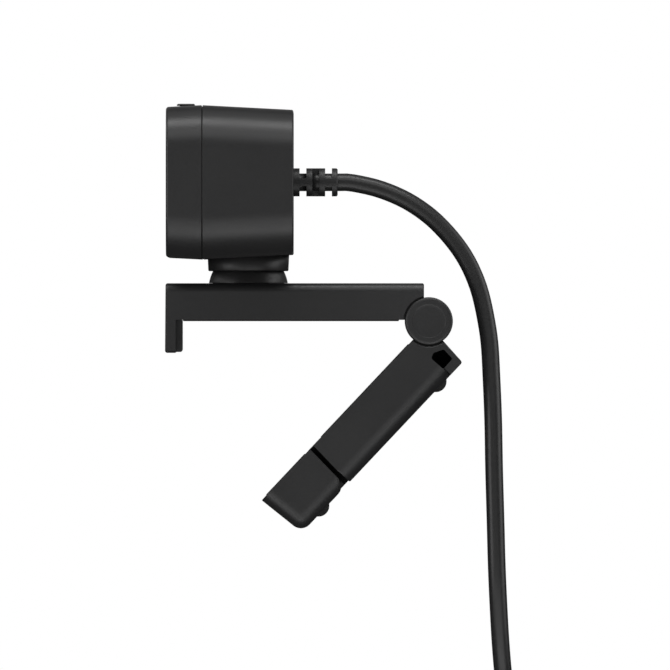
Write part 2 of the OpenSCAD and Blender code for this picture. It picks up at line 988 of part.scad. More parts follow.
// Round cap with a dished face, side is 1 for +X and -1 for -X
module hinge_cap(side) {
    bevel = 0.2;
    sphere_r = 24;
    dish_r = 3.7;
    color("#262626")
        translate([side * cap_floor, hinge_y, 0])
            rotate([0, side * 90, 0])
                difference() {
                    union() {
                        cylinder(r = cap_r, h = cap_t - bevel);
                        translate([0, 0, cap_t - bevel - eps])
                            cylinder(r1 = cap_r, r2 = cap_r - bevel, h = bevel + eps);
                    }
                    translate([0, 0, cap_t + sqrt(sphere_r * sphere_r - dish_r * dish_r)])
                        sphere(sphere_r, $fn = 128);
                }
}

module hinge_washers() {
    color("#d9d9d4")
        for (x = [-1, 1])
            translate([x * (mid_knuckle + side_knuckle) / 2, hinge_y, 0])
                difference() {
                    rod_x(washer_r, side_knuckle - mid_knuckle - 0.05);
                    rod_x(pin_r + 0.05, 2);
                }
}

// ---- Leg ----

module leg_outline() {
    polygon([
        [1, leg_v0], [leg_len, leg_v0], [leg_len + 0.8, leg_v1 - 0.4], [leg_len + 0.4, leg_v1],
        [2.1, leg_v1], [1.6, leg_v1 - 0.5], [1, 5.3]
    ]);
}

// Cross-section shared by the leg and the foot, rounded along its outer edges
module leg_section() {
    translate([0, -leg_v0])
        intersection() {
            translate([0, -leg_t / 2])
                square([arm_w, leg_t], center = true);
            translate([0, -leg_t / 2 + 4])
                round_rect(arm_w, leg_t + 8, leg_edge_r);
        }
}

module leg_bar() {
    intersection() {
        leg_profile(arm_w)
            children();
        rotate([90, 0, 0])
            translate([0, 0, -5])
                linear_extrude(foot_tip + 15)
                    leg_section();
    }
}

// Black pocket in the leg's side beside the hinge
module side_recess() {
    leg_profile(arm_w + 2)
        difference() {
            translate([2.6, 5.7])
                square([3, 4]);
            circle(7.2);
        }
}

module leg_shell() {
    color("#2b2b2b")
        on_hinge()
            difference() {
                union() {
                    difference() {
                        leg_bar()
                            leg_outline();
                        block([-arm_w / 2 + leg_wall, -leg_cavity_u1, -leg_v1 + leg_floor],
                            [arm_w / 2 - leg_wall, -leg_cavity_u0, 0]);
                    }
                    for (u = leg_screw_us)
                        for (x = [-1, 1])
                            translate([x * arm_screw_x, -u, -leg_v1 + 1])
                                cylinder(r = post_r, h = leg_t - 1 - leg_cover_t);
                    translate([0, -insert_u, -leg_v1 + 1])
                        cylinder(r = insert_r + 1.4, h = insert_len);
                    rod_x(knuckle_r, 2 * mid_knuckle);
                    leg_profile(lug_w) {
                        translate([leg_len - 2, leg_v0 + leg_floor])
                            square([2 + lug_web, foot_pin_v - leg_v0 - leg_floor]);
                        translate([leg_len - 2, foot_pin_v - lug_r])
                            square([foot_pin_u - leg_len + 2, 2 * lug_r]);
                        translate([foot_pin_u, foot_pin_v])
                            circle(lug_r);
                    }
                }
                rod_x(pin_r + 0.05, arm_w);
                for (x = [-1, 1]) {
                    translate([x * (arm_w / 2 + mid_knuckle) / 2, 0, 0])
                        rod_x(knuckle_r + knuckle_gap, arm_w / 2 - mid_knuckle + eps);
                    translate([x * (cap_floor + 1.95), 0, 0])
                        rod_x(cap_pocket_r, 4);
                    translate([x * bump_x, -leg_bump_u, -leg_v1 - eps])
                        cylinder(r = bump_stem_r + 0.02, h = bump_stem_len + 0.05);
                    for (u = leg_screw_us)
                        translate([x * arm_screw_x, -u, -leg_v0 - 5.5])
                            cylinder(r = 0.9, h = 6);
                }
                difference() {
                    side_recess();
                    cube([2 * mid_knuckle + 2, 40, 40], center = true);
                }
                translate([0, -foot_pin_u, -foot_pin_v])
                    rod_x(foot_pin_r + 0.02, lug_w + 2);
                translate([0, -insert_u, -leg_v1 - 1])
                    cylinder(r = insert_r + 0.05, h = insert_len + 1.05);
            }
}

// Plate that closes the leg's inner side
module leg_cover() {
    color("#2b2b2b")
        on_hinge()
            difference() {
                block([-arm_w / 2 + leg_wall + fit, -leg_cavity_u1 + fit, -leg_v0 - leg_cover_t],
                    [arm_w / 2 - leg_wall - fit, -leg_cavity_u0 - fit, -leg_v0]);
                for (u = leg_screw_us)
                    for (x = [-1, 1])
                        translate([x * arm_screw_x, -u, -leg_v0 - leg_cover_t - eps])
                            cylinder(r1 = screw_r + 0.2, r2 = screw_head_r + fit, h = leg_cover_t + 2 * eps);
            }
}

module leg_screws() {
    color("#8d9196")
        on_hinge()
            for (u = leg_screw_us)
                for (x = [-1, 1])
                    translate([x * arm_screw_x, -u, -leg_v0 - 5]) {
                        cylinder(r = screw_r, h = 5);
                        translate([0, 0, 5 - leg_cover_t])
                            cylinder(r1 = screw_r, r2 = screw_head_r, h = leg_cover_t);
                    }
}

// A flat pad on the inner side, between two distances from the hinge
module inner_pad(u0, u1) {
    color("#1c1c1c")
        on_hinge()
            translate([0, -(u0 + u1) / 2, -leg_v0])
                linear_extrude(leg_pad_proud)
                    round_rect(pad_w, u1 - u0, 1.5);
}

// Two rubber bumps on the outer side, at a distance from the hinge
module bumps(u) {
    dome_r = (bump_r * bump_r + bump_h * bump_h) / (2 * bump_h);
    color("#161616")
        on_hinge()
            for (x = [-1, 1])
                translate([x * bump_x, -u, -leg_v1]) {
                    difference() {
                        translate([0, 0, dome_r - bump_h])
                            sphere(dome_r, $fn = 48);
                        cylinder(r = 5, h = 10);
                    }
                    cylinder(r = bump_stem_r, h = bump_stem_len);
                }
}

module leg_pad() {
    inner_pad(6.9, 35.5);
}

module leg_bumps() {
    bumps(leg_bump_u);
}

// Brass insert for a tripod screw, its mouth in the leg's outer face
module tripod_insert() {
    color("#b08d4a")
        on_hinge()
            translate([0, -insert_u, -leg_v1])
                difference() {
                    cylinder(r = insert_r, h = insert_len);
                    translate([0, 0, -1])
                        cylinder(r = insert_bore_r, h = insert_bore_len + 1);
                }
}

// ---- Foot ----

module foot_pin() {
    color("#a4a8ad")
        on_hinge()
            translate([-1.25, -foot_pin_u, -foot_pin_v])
                rod_x(foot_pin_r, arm_w - 3.5);
}

module foot_outline() {
    corner = leg_v1 - foot_pin_v;
    start = leg_len + 1;
    tip_r = 2.7;
    tip_u = foot_tip - 0.7;
    translate([foot_pin_u, foot_pin_v])
        circle(corner);
    polygon([
        [start, leg_v0], [foot_tip - 0.1, leg_v0], [foot_tip, leg_v0 + 0.1], [tip_u, leg_v1 - tip_r],
        [tip_u - tip_r, leg_v1], [foot_pin_u, leg_v1], [foot_pin_u - corner, foot_pin_v]
    ]);
    translate([tip_u - tip_r, leg_v1 - tip_r])
        circle(tip_r);
}

module foot_shell() {
    color("#2b2b2b")
        on_hinge()
            difference() {
                leg_bar()
                    foot_outline();
                translate([0, -foot_pin_u, -foot_pin_v]) {
                    translate([-1.5, 0, 0])
                        rod_x(foot_pin_r + 0.05, arm_w - 2.9);
                    block([-lug_w / 2 - 0.2, -lug_r - lug_gap, -10], [lug_w / 2 + 0.2, 10, lug_r + lug_gap]);
                }
                for (x = [-1, 1])
                    translate([x * bump_x, -foot_bump_u, -leg_v1 - eps])
                        cylinder(r = bump_stem_r + 0.02, h = bump_stem_len + 0.05);
            }
}

module foot_pad() {
    inner_pad(40.7, 53.3);
}

module foot_bumps() {
    bumps(foot_bump_u);
}

// ---- One line per sub-part ----

front_bezel();
front_panel();
lens_ring();
lens_window();
rear_housing();
lens_barrel();
lens_elements();
lens_holder();
ir_filter();
image_sensor();
main_board();
board_chips();
cable_connector();
internal_wires();
microphones();
mic_gaskets();
status_led();
light_pipe();
shutter_guide();
board_screws();
housing_screws();
collar();
neck_plate();
neck_bolt();
friction_cup();
neck_spring();
neck_nut();
strain_relief();
shutter_slider();
shutter_blade();
ball_base();
swivel_clip();
usb_cord();
cord_coil();
cord_tie();
cord_tail();
plug_body();
plug_shell();
plug_contacts();
arm_shell();
arm_base();
arm_screws();
underside_pad();
lip_pad();
swivel_washer();
hinge_pin();
hinge_cap(1);  // hinge_cap_left
hinge_cap(-1);  // hinge_cap_right
hinge_washers();
leg_shell();
leg_cover();
leg_pad();
leg_screws();
leg_bumps();
tripod_insert();
foot_pin();
foot_shell();
foot_pad();
foot_bumps();
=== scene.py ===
"""Visual model of a clip-on webcam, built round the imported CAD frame."""

import math

import bmesh
import bpy
from mathutils import Matrix, Vector


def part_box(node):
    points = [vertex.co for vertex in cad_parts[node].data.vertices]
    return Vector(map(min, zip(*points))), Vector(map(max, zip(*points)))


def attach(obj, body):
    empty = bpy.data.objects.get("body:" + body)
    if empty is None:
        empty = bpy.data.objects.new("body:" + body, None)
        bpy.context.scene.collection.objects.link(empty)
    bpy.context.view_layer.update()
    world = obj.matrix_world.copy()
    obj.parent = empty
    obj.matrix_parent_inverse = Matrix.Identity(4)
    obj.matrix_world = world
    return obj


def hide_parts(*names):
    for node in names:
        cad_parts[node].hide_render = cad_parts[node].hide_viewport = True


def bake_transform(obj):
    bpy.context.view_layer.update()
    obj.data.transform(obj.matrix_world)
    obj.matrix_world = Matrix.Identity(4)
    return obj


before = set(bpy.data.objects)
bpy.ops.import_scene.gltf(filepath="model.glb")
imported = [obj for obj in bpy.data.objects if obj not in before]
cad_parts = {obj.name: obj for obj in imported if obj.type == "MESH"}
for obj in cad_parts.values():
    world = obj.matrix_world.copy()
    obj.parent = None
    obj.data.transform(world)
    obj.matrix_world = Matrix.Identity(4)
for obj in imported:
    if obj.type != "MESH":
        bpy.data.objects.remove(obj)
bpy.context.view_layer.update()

# Shapes are drawn in millimetres and scaled to metres once, in new_mesh().
MM = 0.001
UP = Vector((0, 0, 1))
ALONG_X = (1, 0, 0)
ALONG_Y = (0, 1, 0)

# ---- Driving sizes in millimetres, from the frame where it holds them ----


def box_mm(node):
    low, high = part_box(node)
    return [v / MM for v in low], [v / MM for v in high]


bezel_low, bezel_high = box_mm("front_bezel")
REAR_Y = box_mm("rear_housing")[1][1]
panel_low, panel_high = box_mm("front_panel")
arm_low, arm_high = box_mm("arm_shell")
pin_low, pin_high = box_mm("hinge_pin")
knob_low, knob_high = box_mm("shutter_slider")
coil_low, coil_high = box_mm("cord_coil")
RELIEF_END = box_mm("strain_relief")[1][1]
plug_low, plug_high = box_mm("plug_body")

HEAD_W = bezel_high[0] - bezel_low[0]
HEAD_H = bezel_high[2] - bezel_low[2]
HEAD_Z = (bezel_high[2] + bezel_low[2]) / 2
HEAD_CORNER = 10
PANEL_W = panel_high[0] - panel_low[0]
PANEL_H = panel_high[2] - panel_low[2]
PANEL_R = 7
WINDOW_R = 7.5
RING_R = 9.4
MIC_X = 26
LED_X = -14
SCREW_X = 36.5
POST_X = 28
POST_Z = 7
KNOB_X = 12.5
FRONT_Y = bezel_low[1]
SEAM_Y = -10.23
SEAM_GAP = 0.2
FRONT_SHRINK = 0.8
REAR_SHRINK = 2.1
WALL = 1.6

BALL_R = 8.94
CUP_R = 8.98
BALL_Z = 7.1
RELIEF_R = 3.15
RELIEF_Z = 31.1

ARM_HALF = arm_high[0]
LIP_BACK = arm_low[1] + 2.4
ARM_REAR = 39.3
ARM_TOP = arm_high[2]
HINGE_Y = (pin_low[1] + pin_high[1]) / 2
HINGE = (0, HINGE_Y, 0)
LEG_ANGLE = 46.7
LEG_V0 = 0.29
LEG_V1 = 11.79
LEG_EDGE = 3.8
FOOT_TIP = 54.8
FOOT_PIN = (42.1, 9.1)
INSERT_U = 24
BUMP_X = 8.5
LEG_BUMP_U = 8.74
FOOT_BUMP_U = 47
CLIP_SCREW_X = 11
ARM_SCREWS_Y = (-12, 14, 30)
LEG_SCREWS_U = (12.5, 32)
KNUCKLE_R = 4.9
KNUCKLE_CUT = 5.25
MID_KNUCKLE = 8
CAP_FLOOR = pin_high[0]
CAP_R = 5.36
CAP_POCKET = 5.72

CORD_D = 4
CORD_START = RELIEF_END - 6
COIL_Y = (coil_low[1] + coil_high[1]) / 2
COIL_Z = (coil_low[2] + coil_high[2]) / 2
COIL_R = 29
COIL_PITCH = 4.1
COIL_TURNS = 8.667
COIL_LAYERS = 3

# ---- Camera, set first ----


def make_camera():
    """A long lens that looks along -X at the object's side."""
    width_seen = 0.1501
    distance = 6.8
    data = bpy.data.cameras.new("camera")
    data.sensor_width = 36
    data.lens = data.sensor_width * distance / width_seen
    data.clip_end = 50
    camera = bpy.data.objects.new("camera", data)
    camera.location = (distance, 0.0194, -0.0031)
    camera.rotation_euler = (math.radians(90), 0, math.radians(90))
    bpy.context.scene.collection.objects.link(camera)
    bpy.context.scene.camera = camera


make_camera()

# ---- Materials ----


class Nodes:
    """A material's node tree, with short calls for the nodes that it needs."""

    def __init__(self, name):
        self.material = bpy.data.materials.new(name)
        self.material.use_nodes = True
        self.tree = self.material.node_tree
        self.shader = self.tree.nodes["Principled BSDF"]
        self.place = self.tree.nodes.new("ShaderNodeTexCoord").outputs["Object"]

    def link(self, source, target):
        self.tree.links.new(source, target)

    def mapped(self, kind, scale, place=None):
        """A texture or mapping node with its scale set, fed with the piece's own coordinates."""
        node = self.tree.nodes.new("ShaderNode" + kind)
        node.inputs["Scale"].default_value = scale
        self.link(place or self.place, node.inputs["Vector"])
        return node

    def noise(self, scale, detail=2.0, rough=0.5, place=None):
        node = self.mapped("TexNoise", scale, place)
        node.inputs["Detail"].default_value = detail
        node.inputs["Roughness"].default_value = rough
        return node.outputs["Fac"]

    def voronoi(self, scale):
        return self.mapped("TexVoronoi", scale).outputs["Distance"]

    def wave(self, scale, axis):
        node = self.mapped("TexWave", scale)
        node.bands_direction = axis
        return node.outputs["Fac"]

    def stretched(self, scale):
        return self.mapped("Mapping", scale).outputs["Vector"]

    def ramp(self, source, low, high, out_low, out_high):
        node = self.tree.nodes.new("ShaderNodeMapRange")
        node.inputs["From Min"].default_value = low
        node.inputs["From Max"].default_value = high
        node.inputs["To Min"].default_value = out_low
        node.inputs["To Max"].default_value = out_high
        self.link(source, node.inputs["Value"])
        return node.outputs["Result"]

    def colour(self, fac, a, b):
        """Base colour, mixed from two colours by fac."""
        node = self.tree.nodes.new("ShaderNodeMix")
        node.data_type = "RGBA"
        node.inputs["A"].default_value = (*a, 1)
        node.inputs["B"].default_value = (*b, 1)
        self.link(fac, node.inputs["Factor"])
        self.link(node.outputs["Result"], self.shader.inputs["Base Color"])

    def roughness(self, source):
        self.link(source, self.shader.inputs["Roughness"])

    def math_node(self, operation, a):
        node = self.tree.nodes.new("ShaderNodeMath")
        node.operation = operation
        self.link(a, node.inputs[0])
        return node

    def add(self, a, b):
        node = self.math_node("ADD", a)
        self.link(b, node.inputs[1])
        return node.outputs["Value"]

    def scale(self, a, factor):
        node = self.math_node("MULTIPLY", a)
        node.inputs[1].default_value = factor
        return node.outputs["Value"]

    def bump(self, height, distance):
        node = self.tree.nodes.new("ShaderNodeBump")
        node.inputs["Distance"].default_value = distance
        self.link(height, node.inputs["Height"])
        self.link(node.outputs["Normal"], self.shader.inputs["Normal"])

    def constant(self, socket, value):
        self.shader.inputs[socket].default_value = value


def tint(colour, factor):
    return tuple(min(1.0, c * factor) for c in colour)


def moulded(name, colour, rough, grain=2600, depth=0.000012, smudge=0.05, specular=0.5):
    """Moulded plastic or rubber: spark-eroded grain, faint mottling and handling marks."""
    n = Nodes(name)
    fine = n.noise(grain, 3.0, 0.6)
    mottle = n.noise(90, 4.0, 0.6)
    handled = n.noise(28, 3.0, 0.55)
    colour_fac = n.ramp(n.add(n.scale(fine, 0.5), n.scale(mottle, 0.5)), 0.35, 0.65, 0, 1)
    n.colour(colour_fac, tint(colour, 0.88), tint(colour, 1.14))
    rough_base = n.ramp(handled, 0.35, 0.7, rough - smudge, rough + smudge)
    n.roughness(n.add(rough_base, n.ramp(fine, 0.3, 0.7, -0.04, 0.04)))
    n.bump(fine, depth)
    n.constant("Specular IOR Level", specular)
    return n.material


def glossy(name, colour, rough, coat=0.0):
    """Polished plastic: nearly flat, with faint dust and hairline wear in its roughness."""
    n = Nodes(name)
    dust = n.noise(1400)
    swirl = n.noise(1.0, 2.0, 0.5, n.stretched((40, 700, 90)))
    n.colour(n.ramp(dust, 0.6, 0.8, 0, 1), colour, tint(colour, 1.8))
    n.roughness(n.ramp(n.add(dust, swirl), 0.7, 1.3, rough, rough + 0.06))
    n.bump(swirl, 0.0000015)
    n.constant("Coat Weight", coat)
    n.constant("Coat Roughness", 0.04)
    return n.material


def metal(name, colour, rough, lines=(30, 30, 1800)):
    """Plated or turned metal with fine tool lines and a slight stain."""
    n = Nodes(name)
    drawn = n.noise(1.0, 3.0, 0.6, n.stretched(lines))
    stain = n.noise(220, 3.0)
    n.colour(n.ramp(stain, 0.4, 0.7, 0, 1), colour, tint(colour, 0.8))
    n.roughness(n.ramp(drawn, 0.3, 0.7, rough - 0.07, rough + 0.07))
    n.bump(drawn, 0.000004)
    n.constant("Metallic", 1.0)
    return n.material


def clear(name, colour, rough=0.02, index=1.5):
    """Glass or clear plastic with faint dust."""
    n = Nodes(name)
    dust = n.noise(1600)
    n.roughness(n.ramp(dust, 0.55, 0.8, rough, rough + 0.08))
    n.colour(n.ramp(dust, 0.5, 0.8, 0, 1), colour, tint(colour, 0.9))
    n.constant("Transmission Weight", 1.0)
    n.constant("IOR", index)
    return n.material


def board_material():
    """Green solder mask with tracks under it."""
    n = Nodes("solder_mask")
    tracks = n.add(n.scale(n.wave(420, "X"), 0.5), n.scale(n.wave(360, "Z"), 0.5))
    cells = n.voronoi(380)
    pattern = n.ramp(n.add(n.scale(tracks, 0.5), n.scale(cells, 0.5)), 0.35, 0.5, 0, 1)
    n.colour(pattern, (0.008, 0.05, 0.02), (0.02, 0.13, 0.05))
    n.roughness(n.ramp(pattern, 0, 1, 0.28, 0.4))
    n.bump(pattern, 0.00003)
    return n.material


def woven(name, colour):
    """Hook-and-loop strap: a fine crossed weave with loose fibre."""
    n = Nodes(name)
    warp = n.wave(420, "X")
    weft = n.wave(420, "Z")
    fibre = n.noise(3000, 3.0)
    cloth = n.add(n.scale(n.add(warp, weft), 0.35), n.scale(fibre, 0.4))
    n.colour(n.ramp(cloth, 0.3, 0.9, 0, 1), tint(colour, 0.5), tint(colour, 1.7))
    n.roughness(n.ramp(fibre, 0.3, 0.7, 0.8, 0.95))
    n.bump(cloth, 0.0001)
    n.constant("Sheen Weight", 0.3)
    n.constant("Sheen Roughness", 0.5)
    return n.material


SHELL = (0.018, 0.018, 0.0184)
MATERIALS = {
    "shell": moulded("shell_plastic", SHELL, 0.4),
    # Lighter copy of the shell for rounded edges: edge wear, and partly a painted highlight along the edges.
    "shell_edge_wear_and_highlight": moulded("shell_plastic_edge_wear_and_highlight", tint(SHELL, 1.1), 0.42, smudge=0.03),
    "neck": moulded("neck_plastic", tint(SHELL, 0.9), 0.46, smudge=0.03, specular=0.7),
    "dark_shell": moulded("dark_plastic", tint(SHELL, 0.75), 0.46),
    "inner": moulded("inner_plastic", (0.016, 0.016, 0.017), 0.6, grain=1800, depth=0.00002),
    # Near-black paint for faces that lie in shade: painted shade in the leg's side pocket and on the web in
    # the gap to the foot.
    "painted_shade": moulded("deep_shade", (0.006, 0.006, 0.006), 0.9, specular=0.12),
    "rubber": moulded("pad_rubber", (0.017, 0.017, 0.017), 0.78, grain=1500, depth=0.00003, smudge=0.07,
                      specular=0.35),
    "cord": moulded("cord_jacket", (0.017, 0.017, 0.0173), 0.37, depth=0.000005, smudge=0.03),
    "relief": moulded("relief_rubber", (0.018, 0.018, 0.0185), 0.46, grain=1600),
    "nylon": moulded("natural_nylon", (0.68, 0.66, 0.58), 0.45, grain=900, depth=0.00001),
    "chip": moulded("chip_epoxy", (0.012, 0.012, 0.013), 0.55, grain=3000),
    "wire": moulded("wire_jacket", (0.35, 0.03, 0.03), 0.4),
    "panel": glossy("gloss_panel", (0.004, 0.004, 0.005), 0.06, coat=0.5),
    "sensor": glossy("sensor_face", (0.03, 0.045, 0.09), 0.12, coat=0.5),
    "trim": metal("satin_trim", (0.06, 0.06, 0.066), 0.32),
    "steel": metal("plated_steel", (0.62, 0.62, 0.64), 0.25),
    "screw": metal("zinc_screw", (0.5, 0.51, 0.54), 0.34),
    "brass": metal("turned_brass", (0.66, 0.46, 0.2), 0.3),
    "window": clear("window_plastic", (0.92, 0.95, 0.97)),
    "lens": clear("coated_lens", (0.72, 0.78, 0.95), index=1.7),
    "board": board_material(),
    "strap": woven("strap_weave", (0.014, 0.014, 0.014)),
}

# ---- Mesh helpers ----


def new_mesh(name, verts, faces):
    """A piece from points in millimetres."""
    mesh = bpy.data.meshes.new(name)
    mesh.from_pydata([[c * MM for c in v] for v in verts], [], faces)
    mesh.validate()
    obj = bpy.data.objects.new(name, mesh)
    bpy.context.scene.collection.objects.link(obj)
    tidy_normals(obj)
    for polygon in mesh.polygons:
        polygon.use_smooth = True
    return obj


def tidy_normals(obj):
    bm = bmesh.new()
    bm.from_mesh(obj.data)
    bmesh.ops.remove_doubles(bm, verts=bm.verts, dist=1e-7)
    bmesh.ops.recalc_face_normals(bm, faces=bm.faces)
    bm.to_mesh(obj.data)
    bm.free()


def bake_modifiers(obj):
    """Turns the piece's modifiers into its mesh."""
    graph = bpy.context.evaluated_depsgraph_get()
    mesh = bpy.data.meshes.new_from_object(obj.evaluated_get(graph))
    obj.modifiers.clear()
    old = obj.data
    obj.data = mesh
    bpy.data.meshes.remove(old)
    for polygon in mesh.polygons:
        polygon.use_smooth = True
    return obj


def combine(obj, others, operation):
    """Cuts from, joins to or crops obj by other solids, which are then deleted."""
    for other in others:
        modifier = obj.modifiers.new("combine", "BOOLEAN")
        modifier.operation = operation
        modifier.solver = "EXACT"
        modifier.object = other
        bake_modifiers(obj)
        bpy.data.objects.remove(other, do_unlink=True)
    return obj


def cut(obj, *others):
    return combine(obj, others, "DIFFERENCE")


def join(obj, *others):
    return combine(obj, others, "UNION")


def soften(obj, width, segments=2, angle=40, edge_slot=-1):
    """Rounds the edges that are sharper than the angle, and shades flats flat. With edge_slot, the rounds
    get that slot's material: the lighter edge paint, which is edge wear and partly a painted highlight.
    """
    bevel = obj.modifiers.new("edges", "BEVEL")
    bevel.width = width * MM
    bevel.segments = segments
    bevel.limit_method = "ANGLE"
    bevel.angle_limit = math.radians(angle)
    bevel.material = edge_slot
    shade = obj.modifiers.new("shade", "WEIGHTED_NORMAL")
    shade.keep_sharp = True
    shade.weight = 80
    return obj


def paint(obj, *names):
    """Gives a piece its materials: for its faces, for its edges (lighter, for edge wear and a painted
    highlight) and, third, painted shade for its dark hollows.
    """
    for name in names:
        obj.data.materials.append(MATERIALS[name])
    return obj


def finish_piece(obj, body, slot, nodes, *materials):
    """Material, body and the CAD nodes that the piece stands for; the slot argument is not used."""
    paint(obj, *materials)
    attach(obj, body)
    if nodes:
        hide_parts(*nodes)
    return obj


def rounded_rect(w, h, r, steps=10):
    """Outline points (x, z) of a round-cornered rectangle centred on 0."""
    points = []
    for k, (sx, sz) in enumerate(((1, 1), (-1, 1), (-1, -1), (1, -1))):
        for i in range(steps + 1):
            a = math.radians(90 * (k + i / steps))
            points.append((sx * (w / 2 - r) + r * math.cos(a), sz * (h / 2 - r) + r * math.sin(a)))
    return points


def loft(name, rings, closed=False):
    """Skins rings of equal point counts. An open loft is capped at both ends."""
    count = len(rings[0])
    verts = [p for ring in rings for p in ring]
    faces = []
    last = len(rings) if closed else len(rings) - 1
    for j in range(last):
        a, b = j * count, ((j + 1) % len(rings)) * count
        for i in range(count):
            k = (i + 1) % count
            faces.append((a + i, a + k, b + k, b + i))
    if not closed:
        faces.append(tuple(range(count)))
        faces.append(tuple(range((len(rings) - 1) * count, len(rings) * count)))
    return new_mesh(name, verts, faces)


def turn_angles(steps):
    return [2 * math.pi * i / steps for i in range(steps)]


def lathe(name, profile, centre, axis, steps=96, closed=False):
    """Turns a profile of (radius, height) points about an axis through centre.

    A tiny radius closes an end. For a ring or a sleeve the profile is a closed loop."""
    turn = UP.rotation_difference(Vector(axis)).to_matrix()
    rings = []
    for r, h in profile:
        rings.append([turn @ Vector((r * math.cos(a), r * math.sin(a), h)) + Vector(centre)
                      for a in turn_angles(steps)])
    return loft(name, rings, closed)


def block(name, low, high):
    (x0, y0, z0), (x1, y1, z1) = low, high
    corners = [(x, y, z) for z in (z0, z1) for x, y in ((x0, y0), (x1, y0), (x1, y1), (x0, y1))]
    return new_mesh(name, corners, [(0, 1, 2, 3), (4, 5, 6, 7), (0, 1, 5, 4), (1, 2, 6, 5),
                                    (2, 3, 7, 6), (3, 0, 4, 7)])


def rod(name, centre, axis, r, length, steps=96):
    """A plain cylinder, centred."""
    return lathe(name, [(r, -length / 2), (r, length / 2)], centre, axis, steps)


def arc(cx, cy, r, start, end, steps):
    """Points of an arc, angles in degrees."""
    return [(cx + r * math.cos(math.radians(start + (end - start) * i / steps)),
             cy + r * math.sin(math.radians(start + (end - start) * i / steps))) for i in range(steps + 1)]


LEG_TURN = Matrix.Rotation(math.radians(LEG_ANGLE), 4, "X")
LEG_PLACE = Matrix.Translation(Vector(HINGE) * MM) @ LEG_TURN


def stand_leg(obj):
    """Moves a piece drawn folded flat under its pin, at (x, -u, -v), to where the leg stands."""
    obj.data.transform(LEG_PLACE)
    return obj


# ---- Cord ----

CORD_ROUTE = [
    (0, 20.05, 31.1), (0, 22.3, 31.1), (0, 25.3, 30.6), (0, 29, 29.7), (0, 33, 28.2),
    (0, 36.5, 26.4), (0, 40, 24), (0, 43, 21.3), (0.1, 46, 17.9), (0.3, 48.5, 14.3),
    (0.7, 50.5, 10.3), (1.2, 52, 6), (2.1, 53.2, 0.5), (3.1, 54, -5), (4.5, 54.4, -12),
    (6.4, 54.8, -22), (8, 55, -33), (8.9, 55.3, -44), (8.8, 55.6, -55), (7.7, 56, -64),
    (5.7, 56.5, -72.5), (2.4, 57.2, -80.5), (-2.3, 58, -87.6), (-8, 58.7, -93),
    (-14.5, 59.1, -96.9),
]
TAIL_ROUTE = [
    (17.2, 50.9, -122), (17.3, 49, -116.5), (17, 46.6, -110.5), (15, 45.2, -103.5),
    (11, 44.8, -98.7), (6, 44.8, -97), (1, 44.8, -98.3), (-2.8, 44.8, -101), (-4.7, 44.8, -104.5),
    (-5, 44.8, -108),
]


def smooth_step(t):
    t = min(1, max(0, t))
    return t * t * (3 - 2 * t)


def coil_path(step=8):
    """The coil's turns: three flat spirals side by side, wound in, out and in again."""
    start = 120
    total = COIL_TURNS * 360
    layer_turn = total / COIL_LAYERS
    shift_turn = 200
    depth = COIL_PITCH * COIL_TURNS / COIL_LAYERS
    points = []
    count = round(total / step)
    for i in range(1, count):
        turned = total * i / count
        along = turned / layer_turn
        layer = min(COIL_LAYERS - 1, int(along))
        part = along - layer
        radius = COIL_R - depth * (part if layer % 2 == 0 else 1 - part)
        moved = sum(smooth_step((turned - layer_turn * k) / shift_turn + 0.5)
                    for k in range(1, COIL_LAYERS))
        y = COIL_Y + COIL_PITCH * (1 - moved)
        a = math.radians(start + turned)
        points.append((radius * math.cos(a), y, COIL_Z + radius * math.sin(a)))
    return points


def resample(points, spacing):
    """A smooth curve through the points, at even steps."""
    v = [Vector(p) for p in points]
    v = [v[0] * 2 - v[1]] + v + [v[-1] * 2 - v[-2]]
    dense = []
    for i in range(1, len(v) - 2):
        p0, p1, p2, p3 = v[i - 1:i + 3]
        for k in range(12):
            t = k / 12
            dense.append(0.5 * (2 * p1 + (p2 - p0) * t + (2 * p0 - 5 * p1 + 4 * p2 - p3) * t * t
                                + (3 * p1 - p0 - 3 * p2 + p3) * t ** 3))
    dense.append(v[-2])
    lengths = [0]
    for a, b in zip(dense, dense[1:]):
        lengths.append(lengths[-1] + (b - a).length)
    count = max(2, round(lengths[-1] / spacing))
    out, j = [], 0
    for i in range(count + 1):
        want = lengths[-1] * i / count
        while j < len(lengths) - 2 and lengths[j + 1] < want:
            j += 1
        span = lengths[j + 1] - lengths[j]
        out.append(dense[j].lerp(dense[j + 1], (want - lengths[j]) / span if span else 0))
    return out


def tube(name, path, r, sides=20):
    """A round tube along a path, without twist."""
    last = len(path) - 1
    tangents = [(path[min(i + 1, last)] - path[max(i - 1, 0)]).normalized() for i in range(last + 1)]
    side = tangents[0].orthogonal().normalized()
    rings = []
    for i, (p, t) in enumerate(zip(path, tangents)):
        if i:
            side = tangents[i - 1].rotation_difference(t) @ side
        side = (side - t * side.dot(t)).normalized()
        other = t.cross(side)
        rings.append([p + r * (math.cos(a) * side + math.sin(a) * other)
                      for a in turn_angles(sides)])
    return loft(name, rings)


def make_cord():
    """The whole cord: down from the strain relief, round the coil and over to the plug."""
    inside = [(0, CORD_START, RELIEF_Z), (0, (CORD_START + RELIEF_END) / 2, RELIEF_Z)]
    path = resample(inside + CORD_ROUTE + coil_path() + TAIL_ROUTE[1:] + [(-5, 44.8, -111)], 1.6)
    cord = tube("cord", path, CORD_D / 2)
    paint(cord, "cord")
    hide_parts("usb_cord", "cord_coil", "cord_tail")
    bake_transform(cord)
    return cord, path


cord, cord_path = make_cord()

# ---- Head ----


def head_ring(y, w, h, r, inset=0.0):
    return [(x, y, HEAD_Z + z) for x, z in rounded_rect(w - 2 * inset, h - 2 * inset, r - inset, 16)]


def shell_size(y):
    """Width and height of the head's outside at a place along Y."""
    if y < SEAM_Y:
        lost = FRONT_SHRINK * (SEAM_Y - y) / (SEAM_Y - FRONT_Y)
    else:
        lost = REAR_SHRINK * (y - SEAM_Y) / (REAR_Y - SEAM_Y)
    return HEAD_W - lost, HEAD_H - lost


